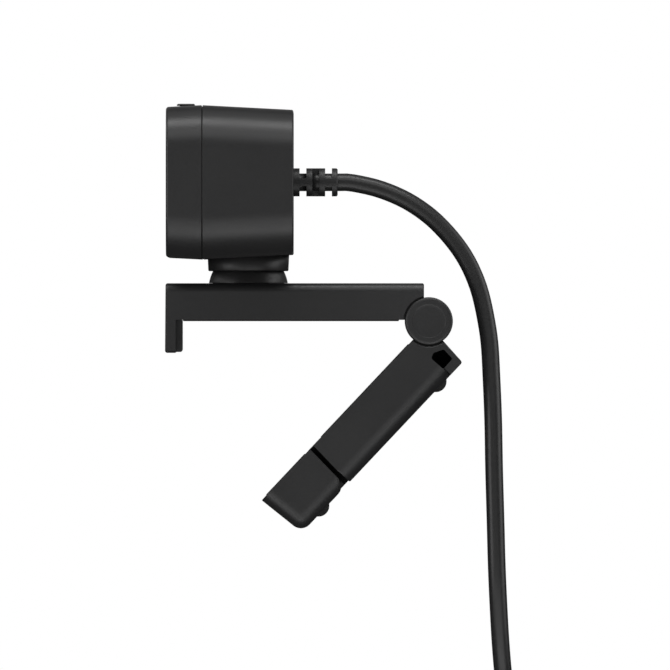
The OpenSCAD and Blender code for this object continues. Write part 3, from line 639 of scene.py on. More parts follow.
def shell_solid(name, y0, y1, round0, round1, inset=0.0):
    """A stretch of the head's outside with both ends rounded over."""
    steps = 5
    rings = []
    for k in range(steps + 1):
        a = math.radians(90 * k / steps)
        for end, r in ((y0, round0), (y1, -round1)):
            y = end + r * (1 - math.sin(a))
            shrink = inset + abs(r) * (1 - math.cos(a))
            rings.append(head_ring(y, *shell_size(y), HEAD_CORNER, shrink))
    rings.sort(key=lambda ring: ring[0][1])
    return loft(name, rings)


def panel_prism(name, w, h, r, y0, y1):
    return loft(name, [head_ring(y0, w, h, r), head_ring(y1, w, h, r)])


def head_rod(name, x, y, r, length, steps=96, z=0):
    """A cylinder along Y, at x and z from the middle of the head."""
    return rod(name, (x, y, HEAD_Z + z), ALONG_Y, r, length, steps)


def head_posts(name, board, screw):
    """A rod at each board post and each housing screw, both given as (y, radius, length, steps)."""
    rods = []
    for x in (-1, 1):
        for z in (-1, 1):
            rods.append(head_rod(name, POST_X * x, *board, POST_Z * z))
        rods.append(head_rod(name, SCREW_X * x, *screw))
    return rods


def make_front_shell():
    shell = shell_solid("front_shell", FRONT_Y, SEAM_Y - SEAM_GAP / 2, 0.6, 0.14)
    inner_y = FRONT_Y + 1.7
    tools = [shell_solid("cavity", inner_y, SEAM_Y + 3, 0.01, 0.01, WALL)]
    tools.append(panel_prism("recess", PANEL_W + 0.2, PANEL_H + 0.2, PANEL_R, FRONT_Y - 1, FRONT_Y + 1.25))
    tools.append(head_rod("lens_hole", 0, inner_y, RING_R, 4))
    tools.append(head_rod("led_hole", LED_X, inner_y, 1.1, 3, 24))
    for x in (-MIC_X, MIC_X):
        tools.append(head_rod("mic_hole", x, inner_y, 0.6, 3, 24))
    tools.append(block("slot", (-2.7, -15.5, HEAD_Z), (knob_high[0] - 0.3, -12.4, 50)))
    cut(shell, *tools)
    join(shell, *head_posts("post", (-8.3, 2.3, 16.6, 32), (-8.8, 2.6, 15.6, 32)))
    cut(shell, *head_posts("bore", (-2.5, 1.05, 7, 24), (-4.5, 1.15, 9, 24)))
    soften(shell, 0.12, 2, 40, 1)
    finish_piece(shell, "head", "matte_shell", ["front_bezel"], "shell", "shell_edge_wear_and_highlight")


def make_rear_shell():
    shell = shell_solid("rear_shell", SEAM_Y + SEAM_GAP / 2, REAR_Y, 0.14, 0.35)
    cut(shell, shell_solid("cavity", SEAM_Y - 3, REAR_Y - WALL, 0.01, 0.01, WALL))
    w, h = HEAD_W - 2 * WALL - 0.6, HEAD_H - 2 * WALL - 0.6
    tongue = panel_prism("tongue", w, h, HEAD_CORNER - WALL, SEAM_Y - 1.4, SEAM_Y + 0.9)
    step = panel_prism("step", HEAD_W - 1, HEAD_H - 1, HEAD_CORNER - 0.5, SEAM_Y - 0.09, SEAM_Y + 1)
    join(tongue, step)
    inner = (HEAD_W - 4 * WALL, HEAD_H - 4 * WALL, HEAD_CORNER - 2 * WALL)
    cut(tongue, panel_prism("hollow", *inner, SEAM_Y - 3, SEAM_Y + 3))
    parts = [tongue, rod("cup", (0, 0, 16.4), UP, 8.4, 3.2)]
    for x in (-1, 1):
        parts.append(head_rod("tube", SCREW_X * x, 4.3, 3, 10.4, 32))
    join(shell, *parts)
    tools = [lathe("ball_cup", ball_profile(CUP_R), (0, 0, BALL_Z), UP)]
    tools.append(rod("bolt_hole", (0, 0, 17), UP, 1.6, 6, 32))
    tools.append(rod("relief_hole", (0, REAR_Y - 1, RELIEF_Z), ALONG_Y, RELIEF_R + 0.05, 4, 48))
    for x in (-1, 1):
        tools.append(head_rod("screw_hole", SCREW_X * x, 0, 1.2, 4, 24))
        tools.append(head_rod("screw_well", SCREW_X * x, 7.6, 2.1, 14, 40))
    cut(shell, *tools)
    soften(shell, 0.14, 2, 40, 1)
    finish_piece(shell, "head", "matte_shell", ["rear_housing"], "shell", "shell_edge_wear_and_highlight")


def make_front_panel():
    panel = panel_prism("gloss_panel", PANEL_W, PANEL_H, PANEL_R, FRONT_Y + 0.12, FRONT_Y + 1.2)
    tools = [head_rod("lens_hole", 0, FRONT_Y, RING_R + 0.05, 4)]
    tools.append(head_rod("led_hole", LED_X, FRONT_Y, 1.05, 4, 32))
    for x in (-MIC_X, MIC_X):
        tools.append(head_rod("mic_hole", x, FRONT_Y, 0.6, 4, 24))
    cut(panel, *tools)
    soften(panel, 0.25, 3, 40)
    finish_piece(panel, "head", "gloss_panel", ["front_panel"], "panel")


def make_lens_ring():
    """Stepped ring round the window, with a turned funnel towards the glass."""
    profile = [(RING_R, 0.0), (RING_R, 1.05), (RING_R - 0.2, 1.25), (RING_R - 0.75, 1.3),
               (RING_R - 0.9, 1.12), (RING_R - 1.1, 1.12), (WINDOW_R + 0.05, 0.55), (WINDOW_R + 0.02, 0.0)]
    ring = lathe("lens_trim", profile, (0, FRONT_Y + 1.2, HEAD_Z), (0, -1, 0), 128, closed=True)
    finish_piece(soften(ring, 0.05, 2, 25), "head", "trim_ring", ["lens_ring"], "trim")
    glass = lathe("window", [(0.01, 0.95), (2.5, 0.93), (5, 0.86), (6.8, 0.76), (WINDOW_R - 0.05, 0.7),
                             (WINDOW_R - 0.02, 0.62), (WINDOW_R - 0.02, 0.05), (0.01, 0.05)],
                  (0, FRONT_Y + 1.2, HEAD_Z), (0, -1, 0))
    finish_piece(glass, "head", "clear_window", ["lens_window"], "window")


def make_shutter_knob():
    """Slider knob with finger ridges, its stem and the bar that carries the blade."""
    (x0, y0, _), (x1, y1, top) = knob_low, knob_high
    mid = KNOB_X
    base = top - 0.45
    w, d = 6.0, y1 - y0
    rings = []
    for inset, z in ((0.06, 0.0), (0.0, 0.06), (0.0, 0.2), (0.1, 0.34), (0.28, 0.43)):
        rings.append([(mid + x, (y0 + y1) / 2 + y, base + z)
                      for x, y in rounded_rect(w - 2 * inset, d - 2 * inset, 0.9 - inset, 6)])
    knob = loft("shutter_knob", rings)
    ridges = [block("ridge", (mid + x - 0.16, y0 + 0.9, top - 0.1), (mid + x + 0.16, y1 - 0.9, top))
              for x in (-1.4, -0.7, 0, 0.7, 1.4)]
    stem = block("stem", (mid - 2.2, -15.3, base - 3.55), (mid + 2.2, -12.6, base + 0.05))
    bar = block("bar", (mid - 5.5, -15.3, base - 4.75), (mid + 5.5, -12.9, base - 3.45))
    join(knob, *ridges, stem, bar)
    soften(knob, 0.07)
    finish_piece(knob, "shutter", "matte_shell", ["shutter_slider"], "dark_shell")


# ---- Neck ----


def ball_profile(r, low=-90, high=90, steps=40):
    """Half a circle from bottom to top, as (radius, height) points."""
    return [(max(0.001, x), y) for x, y in arc(0, 0, r, low, high, steps)]


def make_collar():
    top = 15.2 - BALL_Z
    bottom = 11.2 - BALL_Z
    inner = [(math.sqrt(CUP_R ** 2 - z * z), z) for z in (top, 7.2, 6.4, 5.6, 4.9, bottom + 0.12)]
    outer = [(inner[-1][0] + 0.12, bottom), (8.72, bottom), (8.9, bottom + 0.06),
             (8.98, bottom + 0.22), (9.16, top)]
    collar = lathe("neck_collar", inner + outer, (0, 0, BALL_Z), UP, 128, closed=True)
    finish_piece(collar, "head", "matte_shell", ["collar"], "neck")


def make_ball():
    """Hollow ball on a round foot, with the slot that the neck bolt tilts in."""
    rise = ARM_TOP + 0.05 - BALL_Z
    waist = math.degrees(math.asin(rise / BALL_R))
    outer = ball_profile(BALL_R, waist, 89.9, 32)
    inner = [p for p in ball_profile(6.9, 89.9, 5, 32)]
    foot = [(6.2, 0.0), (6.2, -4.9), (8, -4.9), (8, -4.1), (7.3, -4.1), (7.3, -3.5), (8, -3.5), (8, rise)]
    ball = lathe("neck_ball", outer + inner + foot, (0, 0, BALL_Z), UP, 128, closed=True)
    cut(ball, block("slot", (-1.6, -4.2, 10), (1.6, 4.2, 20)))
    soften(ball, 0.1)
    finish_piece(ball, "ball", "matte_shell", ["ball_base"], "neck")


def make_strain_relief():
    """Slotted sleeve round a core: its webs are at the sides, then above and below, in turn."""
    length = RELIEF_END - REAR_Y
    profile = [(4.4, -3.1), (4.4, -1.7), (RELIEF_R, -1.7), (RELIEF_R, length - 0.25),
               (RELIEF_R - 0.25, length), (CORD_D / 2 + 0.02, length), (CORD_D / 2 + 0.02, -3.1)]
    sleeve = lathe("relief_sleeve", profile, (0, REAR_Y, RELIEF_Z), ALONG_Y, 64, closed=True)
    tools = []
    for i, start in enumerate((1.37, 4.24, 7.1)):
        y = REAR_Y + start
        for side in (-1, 1):
            near, far = (0.85, 5) if side > 0 else (-5, -0.85)
            if i % 2 == 0:
                tools.append(block("slot", (-5, y, RELIEF_Z + near), (5, y + 1.5, RELIEF_Z + far)))
            else:
                tools.append(block("slot", (near, y, RELIEF_Z - 5), (far, y + 1.5, RELIEF_Z + 5)))
    cut(sleeve, *tools)
    soften(sleeve, 0.22, 3, 40)
    finish_piece(sleeve, "head", "rubber", ["strain_relief"], "relief")
    core = [(1.99, -2.8), (1.99, CORD_START - REAR_Y), (1.3, CORD_START - REAR_Y), (1.3, -2.8)]
    core = lathe("relief_core", core, (0, REAR_Y, RELIEF_Z), ALONG_Y, 64, closed=True)
    finish_piece(core, "head", "rubber", ["strain_relief"], "cord")


# ---- Arm ----


def across(name, outline, x0, x1):
    """An outline of (y, z) points drawn out across X."""
    return loft(name, [[(x, y, z) for y, z in outline] for x in (x0, x1)])


def round_bar(name, outline, half, r, place, steps=8):
    """A bar across X whose outline shrinks towards both side faces, so that its chosen edges are round.

    outline(inset) gives the outline's points, and place(x, a, b) puts one in the row's frame."""
    rings = []
    for side in (-1, 1):
        arcs = []
        for k in range(steps + 1):
            a = math.radians(90 * k / steps)
            x = side * (half - r + r * math.sin(a))
            arcs.append([place(x, *p) for p in outline(r * (1 - math.cos(a)))])
        rings += arcs[::-1] if side < 0 else arcs
    return loft(name, rings)


def arm_outline(inset):
    """The arm and its lip from the side, with the top lowered by inset."""
    front, lip_low = arm_low[1], arm_low[2]
    top = ARM_TOP - inset
    corner = 0.5
    points = [(front + 0.1 + x, z) for x, z in arc(corner, top - corner, corner, 90, 180, 5)]
    points += [(front, lip_low + 0.45), (front + 0.13, lip_low + 0.13), (front + 0.45, lip_low)]
    points += [(LIP_BACK - 0.2, lip_low), (LIP_BACK, lip_low + 0.2), (LIP_BACK, 0.29), (ARM_REAR, 0.29)]
    points += [(ARM_REAR - 0.4 + y, z) for y, z in arc(0, top - 0.4, 0.4, 0, 90, 4)]
    return points


def make_arm():
    arm = round_bar("arm_body", arm_outline, ARM_HALF, 2.0, lambda x, y, z: (x, y, z))
    cut(arm, block("cavity", (-13.4, LIP_BACK + 1.4, -5), (13.4, 32.6, ARM_TOP - 1.6)))
    posts = [rod("turret", (0, 0, 5.8), UP, 10.4, 3.8)]
    for y in ARM_SCREWS_Y:
        for x in (-CLIP_SCREW_X, CLIP_SCREW_X):
            posts.append(rod("post", (x, y, 4.5), UP, 2.2, 6, 32))
    for x in (-1, 1):
        middle = (MID_KNUCKLE + 0.25 + CAP_FLOOR) / 2
        reach = CAP_FLOOR - MID_KNUCKLE - 0.25
        posts.append(rod("knuckle", (x * middle, HINGE_Y, 0), ALONG_X, KNUCKLE_R, reach))
    join(arm, *posts)
    tools = [rod("boss_hole", (0, 0, 6), UP, 8.05, 10)]
    for y in ARM_SCREWS_Y:
        for x in (-CLIP_SCREW_X, CLIP_SCREW_X):
            tools.append(rod("screw_hole", (x, y, 3), UP, 0.9, 6, 24))
    tools.append(rod("pin_hole", HINGE, ALONG_X, 1.52, 40, 32))
    tools.append(rod("leg_room", HINGE, ALONG_X, KNUCKLE_R + 0.3, 2 * MID_KNUCKLE + 0.5))
    for x in (-1, 1):
        tools.append(rod("cap_room", (x * (CAP_FLOOR + 3), HINGE_Y, 0), ALONG_X, CAP_POCKET, 6, 128))
        low = arm_low[2]
        near, far = x * (ARM_HALF - 0.5), x * (ARM_HALF + 1)
        wedge = [(near, low - 1), (near, low), (far, low + 1.5), (far, low - 1)]
        tools.append(loft("wedge", [[(a, y, z) for a, z in wedge] for y in (arm_low[1] - 1, LIP_BACK + 1)]))
    cut(arm, *tools)
    soften(arm, 0.2, 3, 40, 1)
    finish_piece(arm, "arm", "matte_shell", ["arm_shell"], "shell", "shell_edge_wear_and_highlight")


def pad(name, w, length, r, t, place):
    """A flat pad with a soft rim, w across X, drawn lying at z from 0 down to -t and then placed."""
    rings = []
    for inset, z in ((0.0, 0.0), (0.0, -0.55 * t), (0.06, -0.85 * t), (0.2, -t)):
        rings.append([(x, y, z) for x, y in rounded_rect(w - 2 * inset, length - 2 * inset, r - inset, 8)])
    piece = loft(name, rings)
    piece.data.transform(place)
    return piece


def make_arm_pads():
    low, high = box_mm("underside_pad")
    place = Matrix.Translation((0, (low[1] + high[1]) / 2 * MM, high[2] * MM))
    piece = pad("arm_pad", high[0] - low[0], high[1] - low[1], 1.5, high[2] - low[2], place)
    finish_piece(piece, "arm", "rubber", ["underside_pad"], "rubber")
    low, high = box_mm("lip_pad")
    back, face, bottom, top = low[1], high[1], low[2], 0.28
    outline = [(back, bottom), (face - 0.35, bottom), (face - 0.08, bottom + 0.3), (face, bottom + 0.6),
               (face, top - 0.1), (face - 0.1, top), (back, top)]
    grip = across("lip_grip", outline, low[0], high[0])
    grooves = [block("groove", (-11, face - 0.14, z), (11, face + 1, z + 0.35))
               for z in (-1.6, -2.8, -4.0, -5.2)]
    cut(grip, *grooves)
    soften(grip, 0.1, 2, 35)
    finish_piece(grip, "arm", "rubber", ["lip_pad"], "relief")


# ---- Hinge ----


def make_caps():
    """Round cap on each end of the hinge, with a shallow dish inside a fine rim."""
    profile = [(0.001, 0.0), (CAP_R, 0.0), (CAP_R, 0.95), (CAP_R - 0.09, 1.2), (CAP_R - 0.28, 1.38),
               (CAP_R - 0.55, 1.48), (CAP_R - 0.8, 1.5), (3.8, 1.5), (3.74, 1.49), (3.7, 1.46),
               (3.64, 1.44), (3.0, 1.42), (2.0, 1.4), (1.0, 1.385), (0.001, 1.38)]
    for side, node in ((1, "hinge_cap_left"), (-1, "hinge_cap_right")):
        cap = lathe(f"cap_{node[10:]}", profile, (side * CAP_FLOOR, HINGE_Y, 0), (side, 0, 0), 128)
        finish_piece(cap, "arm", "matte_shell", [node], "shell")


# ---- Leg and foot ----


def leg_outline(inset):
    v1 = LEG_V1 - inset
    return [(1, LEG_V0), (37.95, LEG_V0), (38.34, v1 - 0.4), (38.26, v1 - 0.12), (38.05, v1), (2, v1),
            (1.68, v1 - 0.14), (1.5, v1 - 0.5), (1, 5.3)]


def foot_outline(inset):
    v1 = LEG_V1 - inset
    tip_r = max(0.4, 2.7 - inset)
    tip_u = FOOT_TIP - inset
    heel_r = max(0.4, 2.69 - inset)
    heel_u = 39.45
    points = [(39.1, LEG_V0), (tip_u - 0.1, LEG_V0), (tip_u, LEG_V0 + 0.1)]
    points += arc(tip_u - 0.7 - tip_r, v1 - tip_r, tip_r, 0, 90, 10)
    points += arc(heel_u + heel_r, v1 - heel_r, heel_r, 90, 180, 10)
    return points


def slope(outline):
    """An outline in u and v as the folded leg's own y and z."""
    return [(-u, -v) for u, v in outline]


def lay(x, u, v):
    return (x, -u, -v)


def make_leg():
    leg = round_bar("leg_body", leg_outline, ARM_HALF, LEG_EDGE, lay)
    cut(leg, block("cavity", (-13.2, -35.7, -9.79), (13.2, -9, 0)))
    parts = [rod("insert_boss", (0, -INSERT_U, -6.8), UP, 5.55, 8)]
    for u in LEG_SCREWS_U:
        for x in (-CLIP_SCREW_X, CLIP_SCREW_X):
            parts.append(rod("post", (x, -u, -5.9), UP, 2.2, 8.8, 32))
    parts.append(rod("knuckle", (0, 0, 0), ALONG_X, KNUCKLE_R, 2 * MID_KNUCKLE))
    pin_u, pin_v = FOOT_PIN
    parts.append(across("lug", slope([(35.9, pin_v - 2.3), (pin_u, pin_v - 2.3)]
                                     + arc(pin_u, pin_v, 2.3, -80, 80, 12)
                                     + [(pin_u, pin_v + 2.3), (35.9, pin_v + 2.3)]), -7, 7))
    parts.append(across("web", slope([(35.9, 0.25), (39.6, 0.25), (39.6, 11.3), (35.9, 11.3)]), -7, 7))
    for x in (-1, 1):
        cheek = [(1.5, 8), (5.4, 8), (5.4, LEG_V1), (2, LEG_V1), (1.68, LEG_V1 - 0.14), (1.5, LEG_V1 - 0.5)]
        parts.append(across("cheek", slope(cheek), *sorted((x * 9, x * (ARM_HALF - 0.04)))))
    join(leg, *parts)
    tools = [rod("pin_hole", (0, 0, 0), ALONG_X, 1.55, 40, 32)]
    tools.append(rod("foot_pin_hole", (0, -pin_u, -pin_v), ALONG_X, 1.02, 16, 32))
    tools.append(rod("insert_hole", (0, -INSERT_U, -8.3), UP, 4.2, 9.1))
    for x in (-1, 1):
        room = ARM_HALF - MID_KNUCKLE + 0.02
        tools.append(rod("knuckle_room", (x * (MID_KNUCKLE + room / 2), 0, 0), ALONG_X, KNUCKLE_CUT, room))
        tools.append(lathe("cap_room", [(0.001, 0), (5.5, 0), (5.5, 1.3), (6.3, 2.1), (0.001, 2.1)],
                           (x * (ARM_HALF - 1.7), 0, 0), (x, 0, 0), 128))
        tools.append(side_pocket(x))
        tools.append(end_slit(x))
        tools.append(rod("bump_seat", (x * BUMP_X, -LEG_BUMP_U, -LEG_V1), UP, 1.3, 3, 32))
        for u in LEG_SCREWS_U:
            tools.append(rod("screw_hole", (x * CLIP_SCREW_X, -u, -2.5), UP, 0.9, 7, 24))
    cut(leg, *tools)
    # Painted shade: the pocket's inside and the web in the gap to the foot get the near-black paint, where
    # shade falls.
    for face in leg.data.polygons:
        x, u, v = face.center.x / MM, -face.center.y / MM, -face.center.z / MM
        in_pocket = 2.2 < u < 5.8 and 5.5 < v < 9.8 and 8.9 < abs(x) < ARM_HALF - 0.1
        on_web = 36 < u < 39.7 and 0.2 < v < 11.4 and 6.9 < abs(x) < 7.1
        if in_pocket or on_web:
            face.material_index = 2
    stand_leg(leg)
    soften(leg, 0.16, 3, 40, 1)
    finish_piece(leg, "leg", "matte_shell", ["leg_shell"], "shell", "shell_edge_wear_and_highlight", "painted_shade")


def side_pocket(x):
    """The pocket in the leg's side beside the hinge, round at its corners; its inside is painted near-black
    as shade in make_leg.
    """
    corners = ((2.3, 6.75), (2.5, 9.6), (5.6, 9.7), (5.72, 6.15), (4.5, 5.6))
    r = 0.4
    outline = []
    count = len(corners)
    for i, corner in enumerate(corners):
        here = Vector(corner)
        before = (Vector(corners[i - 1]) - here).normalized()
        after = (Vector(corners[(i + 1) % count]) - here).normalized()
        shorter = min((Vector(corners[k % count]) - here).length for k in (i - 1, i + 1))
        size = min(r, shorter / 2.2)
        for k in range(6):
            t = k / 5
            outline.append(tuple(here + before * size * (1 - t) ** 2 + after * size * t * t))
    return across("side_pocket", slope(outline), *sorted((x * 9, x * 17)))


def end_slit(x):
    """A fine slit from the pocket out to the leg's outer face."""
    return across("end_slit", slope([(5.32, 9), (5.5, 9), (5.5, 13), (5.32, 13)]), *sorted((x * 11, x * 17)))


def make_foot():
    foot = round_bar("foot_body", foot_outline, ARM_HALF, 3.4, lay)
    pin_u, pin_v = FOOT_PIN
    tools = [rod("pin_hole", (-1.5, -pin_u, -pin_v), ALONG_X, 1.05, 27.1, 32)]
    tools.append(block("lug_room", (-7.2, -pin_u - 2.7, -pin_v - 10), (7.2, -pin_u + 10, -pin_v + 2.7)))
    tools.append(block("web_room", (-7.2, -39.9, -20), (7.2, -30, 5)))
    for x in (-BUMP_X, BUMP_X):
        tools.append(rod("bump_seat", (x, -FOOT_BUMP_U, -LEG_V1), UP, 1.3, 3, 32))
    cut(foot, *tools)
    stand_leg(foot)
    soften(foot, 0.16, 3, 40, 1)
    finish_piece(foot, "foot", "matte_shell", ["foot_shell"], "shell", "shell_edge_wear_and_highlight")


def make_leg_pads():
    pads = (("leg_grip", "leg_pad", "leg", 6.9, 35.5), ("foot_grip", "foot_pad", "foot", 40.7, 53.3))
    for name, node, body, u0, u1 in pads:
        turn = Matrix.Translation((0, -(u0 + u1) / 2 * MM, -LEG_V0 * MM)) @ Matrix.Rotation(math.pi, 4, "Y")
        piece = pad(name, 25, u1 - u0, 1.5, 0.15, LEG_PLACE @ turn)
        finish_piece(piece, body, "rubber", [node], "rubber")


def make_bumps():
    """Two rubber domes on the leg and two on the foot, each in its seat."""
    r, h = 1.95, 1.0
    dome_r = (r * r + h * h) / (2 * h)
    half = math.degrees(math.asin(r / dome_r))
    dome = [(max(0.001, x), z - dome_r + h) for x, z in arc(0, 0, dome_r, 90, 90 - half + 4, 14)]
    profile = dome + [(r, 0.05), (r, 0.0), (1.28, -0.05), (1.28, -1.45), (0.001, -1.45)]
    for name, node, body, u in (("leg_dome", "leg_bumps", "leg", LEG_BUMP_U),
                                ("foot_dome", "foot_bumps", "foot", FOOT_BUMP_U)):
        for x, side in ((BUMP_X, "left"), (-BUMP_X, "right")):
            piece = stand_leg(lathe(f"{name}_{side}", profile, (x, -u, -LEG_V1), (0, 0, -1), 48))
            finish_piece(piece, body, "rubber", [node], "rubber")


def make_insert():
    """Brass insert with a screw thread in its bore."""
    low, high = -LEG_V1, -LEG_V1 + 8
    depth, pitch, steps = 7.5, 1.27, 60
    rows = 48

    def hoop(r, z):
        return [(r * math.cos(a), r * math.sin(a) - INSERT_U, z) for a in turn_angles(steps)]

    outer = [hoop(4.15, z) for z in (low + 0.3, low + 2.6, low + 2.9, high)]
    floor = [hoop(0.02, z) for z in (high, high - 0.5)]
    thread = []
    for j in range(rows + 1):
        z = high - 0.5 - depth * j / rows
        ring = []
        for i, a in enumerate(turn_angles(steps)):
            phase = (z / pitch - i / steps) % 1
            r = 2.6 + abs(phase - 0.5) if j < rows - 3 else 3.1
            ring.append((r * math.cos(a), r * math.sin(a) - INSERT_U, z))
        thread.append(ring)
    mouth = [hoop(r, low + 0.02) for r in (3.2, 3.9)]
    piece = loft("brass_insert", outer + floor + thread + mouth, closed=True)
    stand_leg(piece)
    finish_piece(piece, "leg", "brass_insert", ["tripod_insert"], "brass")


# ---- Tie and plug ----


def make_tie():
    """Woven strap wrapped round the top of the coil, with its free end lapped over."""
    inner_r = COIL_R - COIL_PITCH * COIL_TURNS / COIL_LAYERS - CORD_D / 2 - 0.3
    low, high = inner_r, COIL_R + CORD_D / 2
    reach = COIL_PITCH + CORD_D / 2 + 0.05
    mid = (low + high) / 2
    w, h = 2 * reach, high - low
    profile = [(-4.85, 0.0), (4.85, 0.0), (5, 0.15), (5, 0.6),
               (4.85, 0.75), (-4.85, 0.75), (-5, 0.6), (-5, 0.15)]
    loops = [[(x, y, mid + z) for y, z in rounded_rect(w + 2 * t, h + 2 * t, 1.6 + t, 8)]
             for x, t in profile]
    strap = loft("tie_strap", loops, closed=True)
    end = rounded_rect(9.4, 13, 1.8, 8)
    lap = loft("tie_end", [[(x * k, -reach - 0.75 - t, low + 1.5 + (z + 6.5) * k2) for x, z in end]
                           for t, k, k2 in ((-0.1, 1, 1), (0.5, 1, 1), (0.62, 0.97, 0.99))])
    join(strap, lap)
    turn = Matrix.Rotation(math.radians(12), 4, "Y")
    strap.data.transform(Matrix.Translation((0, COIL_Y * MM, COIL_Z * MM)) @ turn)
    return finish_piece(strap, "ball", "strap", ["cord_tie"], "strap")


def make_plug():
    """Overmould with a ribbed boot and grip bars, the sheet-metal shell and the contact tongue."""
    low, high = plug_low, plug_high
    cx, cy = (low[0] + high[0]) / 2, (low[1] + high[1]) / 2
    boot = 8
    neck = high[2] - boot
    w, t = high[0] - low[0], high[1] - low[1]

    def prism(name, w, t, r, z0, z1):
        return loft(name, [[(cx + x, cy + y, z) for x, y in rounded_rect(w, t, r, 4)] for z in (z0, z1)])

    rings = []
    for inset, z in ((0.7, 0.0), (0.2, 0.2), (0.0, 0.7), (0.0, 18.2), (0.25, 19.3), (1.1, 20.0)):
        rings.append([(cx + x, cy + y, low[2] + z)
                      for x, y in rounded_rect(w - 2 * inset, t - 2 * inset, 2 - 0.5 * inset, 8)])
    body = loft("plug_grip", rings)
    bars = []
    for side in (-1, 1):
        for k in range(5):
            z = low[2] + 6 + 2 * k
            y0, y1 = sorted((cy + side * (t / 2 - 0.35), cy + side * (t / 2 + 0.6)))
            bars.append(block("grip_bar", (cx - 5, y0, z), (cx + 5, y1, z + 0.8)))
    cut(body, *bars)
    cone = [(0.001, -1), (3.4, -1)]
    for k in range(6):
        z = 0.3 + k * boot / 6.4
        r = 3.4 - 0.8 * z / boot
        cone += [(r, z), (r, z + 0.75), (r - 0.35, z + 0.8), (r - 0.35, z + 1.2)]
    cone += [(2.5, boot), (0.001, boot)]
    join(body, lathe("boot", cone, (cx, cy, neck), UP, 48))
    soften(body, 0.12)
    pieces = [finish_piece(body, "ball", "cord_jacket", ["plug_body"], "relief")]

    low, high = box_mm("plug_shell")
    shell = prism("plug_metal", 12, 4.5, 0.5, low[2], high[2])
    cut(shell, prism("mouth", 11.4, 3.9, 0.3, low[2] - 1, high[2] - 0.3))
    tools = []
    for x in (-2.6, 2.6):
        for side in (-1, 1):
            y0, y1 = sorted((cy + side * 1, cy + side * 4))
            tools.append(block("window", (cx + x - 1.1, y0, low[2] + 5.2), (cx + x + 1.1, y1, low[2] + 7.4)))
    tools.append(block("seam", (cx - 0.06, cy - 4, low[2] - 1), (cx + 0.06, cy - 2, high[2] - 3)))
    cut(shell, *tools)
    soften(shell, 0.06)
    pieces.append(finish_piece(shell, "ball", "plated_steel", ["plug_shell"], "steel"))

    low, high = box_mm("plug_contacts")
    tongue = block("contact_tongue", (cx - 5.6, low[1], low[2]), (cx + 5.6, low[1] + 1.9, high[2]))
    soften(tongue, 0.12)
    pieces.append(finish_piece(tongue, "ball", "chip_plastic", ["plug_contacts"], "nylon"))
    for k in range(4):
        x = cx + (k - 1.5) * 2.5
        strip = block(f"contact_{k + 1}", (x - 0.5, low[1] + 1.85, low[2] + 1),
                      (x + 0.5, high[1], high[2] - 1.5))
        soften(strip, 0.05)
        pieces.append(finish_piece(strip, "ball", "plated_steel", ["plug_contacts"], "brass"))
    return pieces


# ---- CAD nodes that stay ----

INSIDE = {
    "lens_barrel": ("inner", 0.12), "lens_elements": ("lens", 0.0), "lens_holder": ("inner", 0.15),
    "ir_filter": ("lens", 0.05), "image_sensor": ("sensor", 0.08), "main_board": ("board", 0.06),
    "board_chips": ("chip", 0.08), "cable_connector": ("nylon", 0.15), "internal_wires": ("wire", 0.0),
    "microphones": ("chip", 0.1), "mic_gaskets": ("rubber", 0.1), "status_led": ("nylon", 0.08),
    "light_pipe": ("window", 0.08), "shutter_guide": ("inner", 0.12), "board_screws": ("screw", 0.12),
    "housing_screws": ("screw", 0.15), "neck_plate": ("steel", 0.12), "neck_bolt": ("steel", 0.15),
    "friction_cup": ("nylon", 0.0), "neck_spring": ("steel", 0.08), "neck_nut": ("steel", 0.12),
    "shutter_blade": ("dark_shell", 0.06), "swivel_clip": ("steel", 0.05), "arm_base": ("dark_shell", 0.12),
    "arm_screws": ("screw", 0.0), "swivel_washer": ("nylon", 0.03), "hinge_pin": ("steel", 0.12),
    "hinge_washers": ("nylon", 0.03), "leg_cover": ("dark_shell", 0.12), "leg_screws": ("screw", 0.0),
    "foot_pin": ("steel", 0.1),
}


def dress_cad_nodes():
    """Gives each CAD node that stays its material, and a softened edge by modifiers alone."""
    for name, (material, width) in INSIDE.items():
        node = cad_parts[name]
        node.data.materials.clear()
        node.data.materials.append(MATERIALS[material])
        if width:
            weld = node.modifiers.new("weld", "WELD")
            weld.merge_threshold = 1e-6
            flat = node.modifiers.new("flat", "DECIMATE")
            flat.decimate_type = "DISSOLVE"
            flat.angle_limit = math.radians(0.5)
            soften(node, width)


# ---- Scene ----


def make_floor():
    """A pale, faintly lit disc under the hanging object, seen from above only."""
    floor_z = -0.162
    rim = [(1400 * math.cos(a), 20 + 1400 * math.sin(a), floor_z / MM) for a in turn_angles(96)]
    floor = new_mesh("floor", rim, [tuple(range(96))])
    if floor.data.polygons[0].normal.z < 0:
        floor.data.flip_normals()
    n = Nodes("floor_paint")
    mottle = n.noise(14, 4.0)
    n.colour(mottle, (0.8, 0.8, 0.8), (0.84, 0.84, 0.84))
    n.constant("Roughness", 0.7)
    n.constant("Emission Color", (0.5, 0.5, 0.5, 1))
    n.constant("Emission Strength", 1.0)
    from_below = n.tree.nodes.new("ShaderNodeNewGeometry").outputs["Backfacing"]
    mix = n.tree.nodes.new("ShaderNodeMixShader")
    n.link(from_below, mix.inputs[0])
    n.link(n.shader.outputs[0], mix.inputs[1])
    n.link(n.tree.nodes.new("ShaderNodeBsdfTransparent").outputs[0], mix.inputs[2])
    n.link(mix.outputs[0], n.tree.nodes["Material Output"].inputs["Surface"])
    floor.data.materials.append(n.material)
    floor.visible_shadow = floor.visible_diffuse = floor.visible_glossy = False


